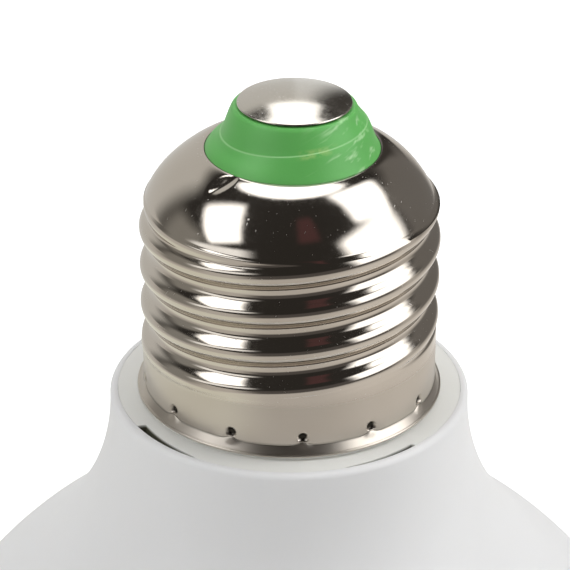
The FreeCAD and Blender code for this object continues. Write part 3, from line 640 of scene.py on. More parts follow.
class Surface(Enum):
    """Every finish on the bulb, by the record's slot, and the insert's own."""

    CONTACT = PlatedNickel("contact_nickel", (0.64, 0.61, 0.56), 0.15, 1.0, 2600.0, 0.0008, 0.25)
    CAP = PlatedNickel("cap_nickel", (0.60, 0.555, 0.50), 0.09, 1.0, 2400.0, 0.0017, 0.35, 0.30, -23.0)
    GREEN = GreenMoulding("insulator_green", (0.12, 0.445, 0.10), 0.42, 0.0, 1800.0, 0.01, 0.06)
    # Both neck finishes carry the painted shade in the slots.
    WHITE = NeckMoulding("white_plastic", (0.80, 0.80, 0.80), 0.5, 0.0, 2600.0, 0.006, 0.015)
    INSERT = NeckMoulding("insert_plastic", (0.80, 0.80, 0.765), 0.5, 0.0, 2600.0, 0.006, 0.015)
    MILKY = WhiteMoulding("milky_plastic", (0.90, 0.90, 0.88), 0.32, 0.0, 900.0, 0.004, 0.01, 0.5, 3.0)
    SINK = Finish("sink_aluminium", (0.75, 0.76, 0.77), 0.4, 1.0)
    BOARD = Finish("board_aluminium", (0.86, 0.86, 0.84), 0.35)
    LED = Finish("led_yellow", (0.90, 0.74, 0.22), 0.3)
    SCREW = Finish("screw_steel", (0.60, 0.60, 0.58), 0.3, 1.0)
    BOARD_GREEN = Finish("board_green", (0.03, 0.20, 0.08), 0.35)
    CAN = Finish("can_dark", (0.05, 0.05, 0.07), 0.3)
    FILM = Finish("film_box", (0.50, 0.09, 0.05), 0.4)
    FERRITE = Finish("ferrite_dark", (0.07, 0.07, 0.075), 0.6)
    COPPER = Finish("copper_winding", (0.60, 0.28, 0.12), 0.3, 0.8)
    CHIP = Finish("chip_black", (0.03, 0.03, 0.03), 0.5)
    RESISTOR = Finish("resistor_grey", (0.30, 0.38, 0.36), 0.4)
    CELL = Finish("cell_sleeve", (0.05, 0.20, 0.45), 0.3)
    STRIP = Finish("nickel_strip", (0.66, 0.64, 0.60), 0.3, 1.0)
    HOLDER = Finish("holder_white", (0.84, 0.84, 0.82), 0.5)
    FOAM = Finish("foam_white", (0.82, 0.82, 0.80), 0.9, 0.0, 1500.0, 0.2)
    BUSH = Finish("bush_rubber", (0.03, 0.03, 0.03), 0.6)
    LEAD_RED = Finish("lead_red", (0.60, 0.03, 0.02), 0.45)
    LEAD_BLACK = Finish("lead_black", (0.03, 0.03, 0.03), 0.45)
    LEAD_WHITE = Finish("lead_white", (0.80, 0.80, 0.78), 0.45)


class Wardrobe:
    """Makes each finish once and hands it out."""

    def __init__(self) -> None:
        """Builds the shared effects."""
        self.effects = Effects()
        self.made: dict[Surface, bpy.types.Material] = {}

    def dress(self, piece: bpy.types.Object, surface: Surface) -> bpy.types.Object:
        """Gives a piece its finish.

        Args:
            piece: The piece.
            surface: Which finish.

        Returns:
            The same piece.
        """
        if surface not in self.made:
            self.made[surface] = surface.value.material(self.effects)
        piece.data.materials.clear()
        piece.data.materials.append(self.made[surface])
        return piece


# The cap


@dataclass
class ScrewCap:
    """Nickel shell: drawn shoulder, knuckle thread, skirt, crimps and lip. Its inner side is a plain wall."""

    major_r: float = 13.025
    minor_r: float = 12.13
    pitch: float = 25.4 / 7.0
    turns: int = 3
    front_crest_z: float = -10.65
    skirt_top_z: float = -22.696
    thread_sag: float = 0.4
    thread_tilt: float = 0.42
    run_out: float = 1.4
    skirt_rise: float = 0.75
    sheet: float = 0.3
    shoulder_r: float = 12.6
    shoulder_h: float = 5.1
    shoulder_z: float = -10.2
    shoulder_bulge: float = 1.42
    shoulder_fall: float = 0.5
    hole_r: float = 7.56
    dent_ends: tuple[Point, Point] = ((-46.5, 9.74), (-36.5, 7.64))
    dent_width: float = 0.8
    dent_depth: float = 0.3
    skirt_r: float = 12.9
    lip_h: float = 1.2
    lip_gap: float = 0.3
    corner: float = 0.3
    crimp_count: int = 13
    crimp_angle: float = 5.3
    crimp_above_rim: float = 1.93
    crimp_r: float = 0.47
    crimp_depth: float = 0.27
    crease_lift: float = 0.3
    crease_lift_width: float = 0.55
    columns: int = 360
    thread_rows: int = 102
    shoulder_rows: int = 26
    skirt_rows: int = 14
    lip_rows: int = 6
    lip_r: float = field(init=False)
    rim_z: float = field(init=False)

    def __post_init__(self) -> None:
        """Reads the lip and the rim from the frame."""
        self.lip_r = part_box("screw_shell")[1].x / MM
        self.rim_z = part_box("housing")[1].z / MM

    def knuckle(self, offset: float) -> float:
        """Height of the thread over its root.

        Args:
            offset: Distance from a crest along the axis.

        Returns:
            0 at the root, the full depth at the crest.
        """
        half = self.pitch / 4.0
        depth = self.major_r - self.minor_r
        radius = half / math.sin(2.0 * math.atan(depth / (2.0 * half)))
        s = abs(offset)
        if s >= 2.0 * half:
            return 0.0
        if s < half:
            return depth - radius + math.sqrt(radius ** 2 - s ** 2)
        return radius - math.sqrt(radius ** 2 - (2.0 * half - s) ** 2)

    def crest_height(self, turn: float, index: int) -> float:
        """How much of a crest is there.

        Args:
            turn: Place round the axis.
            index: Which crest, from the top.

        Returns:
            1, apart from the run-in of the first and the run-out of the last.
        """
        if index == 0:
            return smooth_step((0.5 - turn) / 0.35)
        if index == self.turns:
            return smooth_step((turn + 0.5) / 0.3)
        return 1.0

    def thread_radius(self, turn: float, z: float) -> float:
        """Outer radius of the rolled cap.

        Args:
            turn: Place round the axis.
            z: Height.

        Returns:
            The radius.
        """
        thread = 0.0
        crooked = self.thread_tilt * math.sin(2.0 * math.pi * turn) - self.thread_sag
        for index in range(self.turns + 1):
            crest_z = self.front_crest_z + self.pitch * (turn - index) + crooked
            thread = max(thread, self.knuckle(z - crest_z) * self.crest_height(turn, index))
        radius = self.minor_r + thread
        fall = max(self.shoulder_z - z, 0.0)
        radius = blend_max(radius, self.shoulder_r - self.shoulder_fall * fall ** 2, self.corner)
        half = self.pitch / 4.0
        lifted = smooth_step((turn + 0.02) / 0.14) * (1.0 - smooth_step((turn - 0.3) / 0.18))
        rise = smooth_step((self.skirt_top_z + self.skirt_rise * lifted + half - z) / half)
        low = self.minor_r - self.corner
        return blend_max(radius, low + (self.skirt_r - low) * rise, self.corner)

    def outline(self) -> list[Point]:
        """The shell's section at the front.

        Returns:
            Outer side from the hole to the lip, then back up the inner side.
        """
        points: list[Point] = []
        power = 2.0 / self.shoulder_bulge
        for i in range(self.shoulder_rows + 1):
            a = (0.005 + 0.875 * i / self.shoulder_rows) * math.pi / 2.0
            points.append((self.hole_r + (self.shoulder_r - self.hole_r) * math.sin(a) ** power,
                           self.shoulder_z + self.shoulder_h * math.cos(a) ** power))
        start = points[-1][1] - 0.12
        end = self.skirt_top_z - self.run_out
        for i in range(self.thread_rows + 1):
            points.append((self.skirt_r, start + (end - start) * i / self.thread_rows))
        lip_top = self.rim_z + self.lip_h
        lip_end = self.rim_z + self.sheet + self.lip_gap
        for i in range(1, self.skirt_rows + 1):
            points.append((self.skirt_r, end + (lip_top - end) * i / self.skirt_rows))
        flare = math.atan2(self.lip_r - self.skirt_r, lip_top - lip_end)
        round_r = self.sheet / 2.0
        edge = (self.lip_r - round_r, lip_end - round_r * math.tan(flare / 2.0))
        for i in range(1, self.lip_rows + 1):
            share = i / self.lip_rows
            points.append((self.skirt_r + (edge[0] - self.skirt_r) * share, lip_top + (edge[1] - lip_top) * share))
        points += arc((edge[0], edge[1] - round_r), round_r, 90.0 - math.degrees(flare) / 2.0, -90.0, 8)
        inside = self.minor_r - self.sheet
        skirt_in = self.skirt_r - self.sheet
        points += [(skirt_in + 0.25, lip_end - self.sheet), (skirt_in, lip_top), (skirt_in, end),
                   (inside, self.skirt_top_z + 1.0), (inside, self.shoulder_z - 1.0),
                   (inside - 0.5, self.shoulder_z + 0.6), (inside - 1.9, self.shoulder_z + 2.4),
                   (self.hole_r + 0.4, self.shoulder_z + self.shoulder_h - self.sheet - 0.1),
                   (self.hole_r, self.shoulder_z + self.shoulder_h - self.sheet)]
        return points

    def build(self, wardrobe: Wardrobe) -> bpy.types.Object:
        """Spins the section, rolls the thread into it and presses the crimps.

        Args:
            wardrobe: The finishes.

        Returns:
            The shell.
        """
        mesh = spun_mesh(self.outline(), self.columns)
        limit = self.skirt_r - 0.01
        for vert in mesh.verts:
            radius = math.hypot(vert.co.x, vert.co.y)
            if radius < limit or vert.co.z < self.skirt_top_z - self.run_out - 0.01:
                continue
            scale = self.thread_radius(turn_of(vert.co), vert.co.z) / radius
            vert.co.x *= scale
            vert.co.y *= scale
        self.press_crimps(mesh)
        self.press_dent(mesh)
        for vert in mesh.verts:
            vert.co.x += lean(vert.co.z)
        for edge in mesh.edges:
            low = max(vert.co.z for vert in edge.verts) < self.rim_z + self.lip_h + self.crease_lift + 0.05
            edge.smooth = not (low and edge.calc_face_angle(0.0) > math.radians(30.0))
        piece = finish_piece("screw_shell_skin", mesh, 60.0)
        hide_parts("screw_shell")
        return wardrobe.dress(piece, Surface.CAP)

    def press_crimps(self, mesh: bmesh.types.BMesh) -> None:
        """Presses a ring of round pockets just over the lip, whose crease rises to each of them, and marks where
        shade is painted in the pockets and along the crease.

        Args:
            mesh: The shell's mesh.
        """
        z = self.rim_z + self.crimp_above_rim
        centres = [polar(self.skirt_r, self.crimp_angle + 360.0 * i / self.crimp_count, z)
                   for i in range(self.crimp_count)]
        reach = self.crimp_r * 2.6
        low = [face for face in mesh.faces if abs(face.verts[0].co.z - z) < 2.0 * reach]
        near = [face for face in low
                if any((face.calc_center_median() - c).length < reach for c in centres)]
        edges = list({edge for face in near for edge in face.edges})
        bmesh.ops.subdivide_edges(mesh, edges=edges, cuts=3, use_grid_fill=True)
        # Painted shade: how dark each vertex is painted, in the pockets and along the crease.
        crevice_shade = mesh.verts.layers.float.new("crevice_shade")
        crease = self.rim_z + self.lip_h
        for vert in mesh.verts:
            if abs(vert.co.z - z) > 2.0 * reach or math.hypot(vert.co.x, vert.co.y) < self.skirt_r - 0.02:
                continue
            above = vert.co.z - crease
            # Painted shade along the crease just above the lip.
            vert[crevice_shade] = 0.55 * (1.0 - smooth_step(abs(above - 0.04) / 0.12)) if above > -0.02 else 0.0
            for centre in centres:
                distance = (vert.co - centre).length / self.crimp_r
                if distance > 4.0:
                    continue
                pull = 1.0 - smooth_step((distance - 0.35) / 0.85)
                out = Vector((vert.co.x, vert.co.y, 0.0)).normalized()
                across = (centre.xy - vert.co.xy).length / self.crease_lift_width
                rise = self.crease_lift * math.exp(-across ** 2) * (1.0 - smooth_step(abs(above) / 0.5))
                vert.co -= out * self.crimp_depth * pull
                vert.co.z += rise
                # Painted shade, darkest in the middle of each pocket.
                vert[crevice_shade] = max(vert[crevice_shade], 0.97 * smooth_step(1.5 * pull - 0.3))

    def press_dent(self, mesh: bmesh.types.BMesh) -> None:
        """Presses the leaf-shaped dent beside the hole, front left.

        Args:
            mesh: The shell's mesh.
        """
        (start_angle, start_r), (end_angle, end_r) = self.dent_ends
        start = polar(start_r, start_angle, 0.0)
        end = polar(end_r, end_angle, 0.0)
        along = (end - start).normalized()
        middle = (start + end) / 2.0
        half = (end - start).length / 2.0
        for vert in mesh.verts:
            if vert.co.z < self.shoulder_z + 1.0:
                continue
            offset = Vector((vert.co.x, vert.co.y, 0.0)) - middle
            run = offset.dot(along) / half
            side = (offset - along * offset.dot(along)).length / self.dent_width
            away = math.sqrt(run ** 2 + side ** 2)
            if away < 1.0:
                vert.co.z -= self.dent_depth * (1.0 - away ** 2) * (1.0 - 0.5 * side)


@dataclass
class ContactEnd:
    """Centre contact, with a solid stem, and the green insulator that carries it."""

    rise: float = 0.86
    edge: float = 0.26
    edge_round: float = 0.12
    undercut: float = 0.3
    stem_r: float = 1.6
    insulator_top_r: float = 5.25
    ledge_r: float = 6.3
    ledge_h: float = 2.03
    ledge_step: float = 0.12
    base_r: float = 7.5
    height: float = 3.98
    line_tilt: float = 0.09
    cone_rows: int = 10
    columns: int = 192

    def build_contact(self, wardrobe: Wardrobe) -> bpy.types.Object:
        """Spins the domed contact.

        Args:
            wardrobe: The finishes.

        Returns:
            The contact.
        """
        low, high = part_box("centre_contact")
        r = high.x / MM
        dome_r = (r ** 2 + self.rise ** 2) / (2.0 * self.rise)
        turn_r = r - self.edge_round
        turn = math.degrees(math.asin(turn_r / dome_r))
        top = -(self.rise + self.edge)
        points = [(0.0, 0.0)] + arc((0.0, -dome_r), dome_r, 90.0, 90.0 - turn, 28)[1:]
        points += arc((turn_r, points[-1][1] - self.edge_round), self.edge_round, 90.0 - turn, 0.0, 6)[1:]
        points += [(r - self.undercut, top), (self.stem_r, top), (self.stem_r, low.z / MM), (0.0, low.z / MM)]
        mesh = spun_mesh(points, self.columns)
        for vert in mesh.verts:
            vert.co.x += lean(vert.co.z)
        piece = finish_piece("contact_button", mesh, 50.0)
        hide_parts("centre_contact")
        return wardrobe.dress(piece, Surface.CONTACT)

    def build_insulator(self, wardrobe: Wardrobe) -> bpy.types.Object:
        """Spins the stepped cone and tilts its ledge.

        Args:
            wardrobe: The finishes.

        Returns:
            The insulator.
        """
        low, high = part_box("contact_insulator")
        top = high.z / MM
        foot = low.z / MM
        ledge = top - self.ledge_h
        base = top - self.height
        bore = self.stem_r + 0.03
        points = [(bore, top), (self.insulator_top_r - 0.12, top), (self.insulator_top_r, top - 0.1)]
        for i in range(1, self.cone_rows):
            share = i / self.cone_rows
            points.append((self.insulator_top_r + (self.ledge_r - self.ledge_step - self.insulator_top_r) * share,
                           top - self.ledge_h * share))
        points += [(self.ledge_r - self.ledge_step, ledge + 0.03), (self.ledge_r - 0.03, ledge)]
        for i in range(1, self.cone_rows):
            share = i / self.cone_rows
            points.append((self.ledge_r + (self.base_r - self.ledge_r) * share, ledge + (base - ledge) * share))
        points += [(self.base_r, base), (self.base_r - 0.12, base), (self.base_r - 0.12, base - 0.75),
                   (high.x / MM, base - 1.2), (high.x / MM, foot), (bore, foot)]
        mesh = spun_mesh(points, self.columns)
        for vert in mesh.verts:
            fade = 1.0 - smooth_step(abs(vert.co.z - ledge) / (self.ledge_h * 0.8))
            if math.hypot(vert.co.x, vert.co.y) > self.insulator_top_r:
                vert.co.z += vert.co.x * self.line_tilt * fade
            vert.co.x += lean(vert.co.z)
        piece = finish_piece("insulator_cone", mesh, 30.0)
        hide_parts("contact_insulator")
        return wardrobe.dress(piece, Surface.GREEN)


@dataclass
class Crescent:
    """A slot in the flange's edge, widest at one end."""

    wide_angle: float
    thin_angle: float
    width: float

    def depth_at(self, degrees: float) -> float:
        """How far the slot reaches in from the edge.

        Args:
            degrees: Angle from the front.

        Returns:
            Its width there, 0 outside it.
        """
        share = (degrees - self.thin_angle) / (self.wide_angle - self.thin_angle)
        if share <= 0.0 or share > 1.0:
            return 0.0
        end = smooth_step((1.0 - share) / 0.035) ** 0.5
        return self.width * (0.1 + 0.9 * share ** 0.8) * min(end, smooth_step(share / 0.08))


@dataclass
class Body:
    """Neck insert, housing and diffuser, without the bosses, hooks and guides that are out of sight."""

    flange_r: float = 15.2
    flange_t: float = 1.6
    spigot_r: float = 14.15
    spigot_wall: float = 1.5
    barrel_r: float = 11.69
    seat_r: float = 12.46
    ring_r: float = 13.2
    ring_h: float = 0.25
    bore_r: float = 10.3
    seam: float = 0.015
    rim_r: float = 15.9
    rim_round: float = 0.5
    wall: float = 1.6
    dome_wall: float = 1.5
    lap_wall: float = 1.25
    lap_height: float = 2.7
    split_gap: float = 0.1
    slots: tuple[Crescent, Crescent] = (Crescent(-59.5, -30.5, 0.75), Crescent(45.5, 17.5, 0.40))
    slot_depth: float = 1.2
    columns: int = 288
    flange_columns: int = 720
    edge_round: float = 0.02
    rim_z: float = field(init=False)
    globe_z: float = field(init=False)
    globe_r: float = field(init=False)
    split_z: float = field(init=False)
    flare_r: float = field(init=False)

    def __post_init__(self) -> None:
        """Works out the neck's arc from the frame."""
        low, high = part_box("housing")
        self.rim_z = high.z / MM
        self.split_z = low.z / MM
        self.globe_z = (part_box("diffuser")[0].z / MM) + high.x / MM
        self.globe_r = high.x / MM
        drop = self.globe_z - (self.rim_z - self.rim_round)
        self.flare_r = (self.rim_r ** 2 + drop ** 2 - self.globe_r ** 2) / (2.0 * (self.globe_r - self.rim_r))

    def build_carrier(self, wardrobe: Wardrobe) -> bpy.types.Object:
        """Spins the neck insert and notches its flange.

        Args:
            wardrobe: The finishes.

        Returns:
            The insert.
        """
        low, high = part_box("cap_carrier")
        rim = self.rim_z
        under = rim - self.flange_t
        inner = self.spigot_r - self.spigot_wall
        edge = self.edge_round
        points = [(self.bore_r, high.z / MM), (self.barrel_r, high.z / MM), (self.barrel_r, rim + 5.0),
                  (self.seat_r, rim + 4.5), (self.seat_r, rim + self.ring_h), (self.ring_r, rim + self.ring_h),
                  (self.ring_r, rim), (self.flange_r - 1.2, rim),
                  (self.flange_r - edge, rim)]
        points += arc((self.flange_r - edge, rim - edge), edge, 67.5, 0.0, 3)
        points += [(self.flange_r, rim - self.slot_depth), (self.flange_r, under), (self.spigot_r, under),
                   (self.spigot_r, low.z / MM), (inner, low.z / MM), (inner, under), (self.bore_r, under + 1.0)]
        mesh = spun_mesh(points, self.flange_columns)
        for vert in mesh.verts:
            radius = math.hypot(vert.co.x, vert.co.y)
            if radius < self.flange_r - 2.0 * edge or vert.co.z < under + 0.1:
                continue
            cut = max(slot.depth_at(turn_of(vert.co) * 360.0) for slot in self.slots)
            factor = (radius - cut) / radius
            vert.co.x *= factor
            vert.co.y *= factor
        piece = finish_piece("neck_insert", mesh, 35.0)
        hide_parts("cap_carrier")
        return wardrobe.dress(piece, Surface.INSERT)

    def build_housing(self, wardrobe: Wardrobe) -> bpy.types.Object:
        """Spins the housing's wall: rim, hollow neck and upper ball.

        Args:
            wardrobe: The finishes.

        Returns:
            The housing.
        """
        flare_x = self.rim_r + self.flare_r
        flare_z = self.rim_z - self.rim_round
        lean = math.degrees(math.atan2(flare_z - self.globe_z, flare_x))
        split = math.degrees(math.asin((self.split_z - self.globe_z) / self.globe_r))
        inner_split = math.degrees(math.asin((self.split_z - self.globe_z) / (self.globe_r - self.wall)))
        bore = self.flange_r + self.seam
        points = [(bore + 0.02, self.rim_z)]
        points += arc((self.rim_r - self.rim_round, flare_z), self.rim_round, 90.0, 0.0, 8)
        points += arc((flare_x, flare_z), self.flare_r, 180.0, 180.0 + lean, 40)[1:]
        points += arc((0.0, self.globe_z), self.globe_r, lean, split + 0.15, 48)[1:]
        points.append((points[-1][0] - 0.1, self.split_z))
        points += arc((0.0, self.globe_z), self.globe_r - self.wall, inner_split, lean, 14)
        collar = self.rim_z - 6.2
        start = 180.0 + lean
        end = 180.0 + math.degrees(math.asin((flare_z - collar) / (self.flare_r + self.wall)))
        points += arc((flare_x, flare_z), self.flare_r + self.wall, start, end, 14)[1:]
        points += [(self.spigot_r + 0.06, collar), (self.spigot_r + 0.06, self.rim_z - self.flange_t - 0.02),
                   (bore, self.rim_z - self.flange_t - 0.02), (bore, self.rim_z - 0.02)]
        piece = finish_piece("housing_shell", spun_mesh(points, self.columns), 45.0)
        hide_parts("housing")
        return wardrobe.dress(piece, Surface.WHITE)

    def build_dome(self, wardrobe: Wardrobe) -> bpy.types.Object:
        """Spins the milky dome with its lap.

        Args:
            wardrobe: The finishes.

        Returns:
            The diffuser.
        """
        top = self.split_z - self.split_gap
        lap_r = math.sqrt((self.globe_r - self.wall) ** 2 - (self.split_z - self.globe_z) ** 2) - 0.09
        start = math.degrees(math.asin((top - self.globe_z) / self.globe_r))
        inner_r = self.globe_r - self.dome_wall
        inner_start = math.degrees(math.asin((top - 2.4 - self.globe_z) / inner_r))
        lap_top = self.split_z + self.lap_height
        points = [(lap_r, lap_top), (lap_r, top)]
        outer = arc((0.0, self.globe_z), self.globe_r, start, -90.0, 56)
        points.append((outer[0][0] - 0.1, top))
        points += [(outer[0][0] - 0.02, top - 0.04)] + outer[1:-1] + [(0.0, self.globe_z - self.globe_r)]
        inner = arc((0.0, self.globe_z), inner_r, -90.0, inner_start, 28)
        points += [(0.0, inner[0][1])] + inner[1:]
        points += [(lap_r - self.lap_wall, top - 1.2), (lap_r - self.lap_wall, lap_top)]
        piece = finish_piece("milky_dome", spun_mesh(points, self.columns), 45.0)
        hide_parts("diffuser")
        return wardrobe.dress(piece, Surface.MILKY)


@dataclass
class InnerWorks:
    """The CAD nodes, of which the pieces inside keep their own solids."""

    def dress(self, wardrobe: Wardrobe) -> None:
        """Gives each node the finish of its slot.

        Args:
            wardrobe: The finishes.
        """
        by_slot = {surface.value.name: surface for surface in Surface}
        for part in frame["record"]["subparts"]:
            node = frame["nodes"][part["node"]]
            wardrobe.dress(node, by_slot[part["material_slot"]])
            log.info("%s: dressed as %s", part["node"], part["material_slot"])


# The studio


@dataclass(frozen=True)
class SoftBox:
    """A lamp with a large face, placed by its direction from the cap, and its picture in reflections."""

    name: str
    azimuth: float
    elevation: float
    width: float
    height: float
    strength: float
    glow: float
    roll: float = 0.0
    soft: float = 3.0
    oval: bool = False
    distance: float = 1.0

    def way(self) -> Vector:
        """The direction from the cap to the lamp."""
        az = math.radians(self.azimuth)
        el = math.radians(self.elevation)
        return Vector((math.sin(az) * math.cos(el), -math.cos(az) * math.cos(el), math.sin(el)))

    def turn(self) -> Matrix:
        """The lamp's turn, with its face to the cap."""
        flat = (-self.way()).to_track_quat("-Z", "Y").to_matrix()
        return flat @ Matrix.Rotation(math.radians(self.roll), 3, "Z")

    def build(self, target: Vector) -> None:
        """Hangs the lamp so that it faces the cap.

        Args:
            target: What it faces.
        """
        if not self.strength:
            return
        lamp = bpy.data.lights.new(self.name, "AREA")
        lamp.shape = "RECTANGLE"
        lamp.size = 2.0 * self.distance * math.tan(math.radians(self.width) / 2.0)
        lamp.size_y = 2.0 * self.distance * math.tan(math.radians(self.height) / 2.0)
        lamp.energy = self.strength * math.pi * lamp.size * lamp.size_y
        place = bpy.data.objects.new(self.name, lamp)
        place.matrix_world = Matrix.Translation(target + self.way() * self.distance) @ self.turn().to_4x4()
        place.visible_camera = False
        place.visible_glossy = False
        bpy.context.scene.collection.objects.link(place)

    def mask(self, n: Nodes, view: "Bearings") -> bpy.types.NodeSocket:
        """1 on the lamp's face, with soft edges.

        Args:
            n: The nodes to add to.
            view: Where the shaded point stands, seen from the cap.

        Returns:
            The mask.
        """
        turn = self.turn()
        ahead = n.math("MAXIMUM", view.along(n, self.way()), 0.01)
        reach: list[bpy.types.NodeSocket] = []
        for axis, size in ((turn.col[0], self.width), (turn.col[1], self.height)):
            off = n.math("DEGREES", n.math("ARCTANGENT", n.math("DIVIDE", view.along(n, axis), ahead)))
            reach.append(n.math("DIVIDE", n.math("ABSOLUTE", off), size / 2.0))
        edge = self.soft / self.height
        if self.oval:
            squares = n.math("ADD", n.math("POWER", reach[0], 2.0), n.math("POWER", reach[1], 2.0))
            mask = n.ramp(n.math("SQRT", squares), 1.0 - edge, 1.0 + edge, 1.0, 0.0)
        else:
            mask = n.math("MULTIPLY", n.ramp(reach[0], 1.0 - edge, 1.0 + edge, 1.0, 0.0),
                          n.ramp(reach[1], 1.0 - edge, 1.0 + edge, 1.0, 0.0))
        return n.math("MULTIPLY", mask, n.math("GREATER_THAN", ahead, 0.05))


@dataclass(frozen=True)
class Patch:
    """A soft-edged tone that only reflections see, bounded by azimuth and elevation."""

    left: float
    right: float
    low: float
    high: float
    color: Color
    soft_sides: float = 12.0
    soft_ends: float = 8.0

    def mask(self, n: Nodes, view: "Bearings") -> bpy.types.NodeSocket:
        """1 in the middle of the patch, falling to 0 at its edges.

        Args:
            n: The nodes to add to.
            view: Where the shaded point stands, seen from the cap.

        Returns:
            The mask.
        """
        mask: bpy.types.NodeSocket | None = None
        for value, low, high, soft in ((view.azimuth, self.left, self.right, self.soft_sides),
                                       (view.elevation, self.low, self.high, self.soft_ends)):
            both = n.math("MULTIPLY", n.ramp(value, low, low + soft), n.ramp(value, high - soft, high, 1.0, 0.0))
            mask = both if mask is None else n.math("MULTIPLY", mask, both)
        return mask


class Bearings:
    """Where a shaded point stands, seen from the cap."""

    def __init__(self, n: Nodes, target: Vector) -> None:
        """Works out the direction, azimuth and elevation.

        Args:
            n: The nodes to add to.
            target: Where the bearings are taken from.
        """
        place = n.add("ShaderNodeTexCoord").outputs["Object"]
        offset = n.add("ShaderNodeVectorMath", {0: place, 1: tuple(-c for c in target)}, operation="ADD")
        self.way = n.add("ShaderNodeVectorMath", {0: offset.outputs[0]}, operation="NORMALIZE").outputs[0]
        axes = n.add("ShaderNodeSeparateXYZ", {0: self.way})
        around = n.math("ARCTAN2", axes.outputs[0], n.math("MULTIPLY", axes.outputs[1], -1.0))
        self.azimuth = n.math("DEGREES", around)
        self.elevation = n.math("DEGREES", n.math("ARCSINE", axes.outputs[2]))

    def along(self, n: Nodes, axis: Vector) -> bpy.types.NodeSocket:
        """How much of the direction runs along an axis.

        Args:
            n: The nodes to add to.
            axis: The axis.

        Returns:
            The share.
        """
        node = n.add("ShaderNodeVectorMath", {0: self.way, 1: tuple(axis)}, operation="DOT_PRODUCT")
        return node.outputs["Value"]


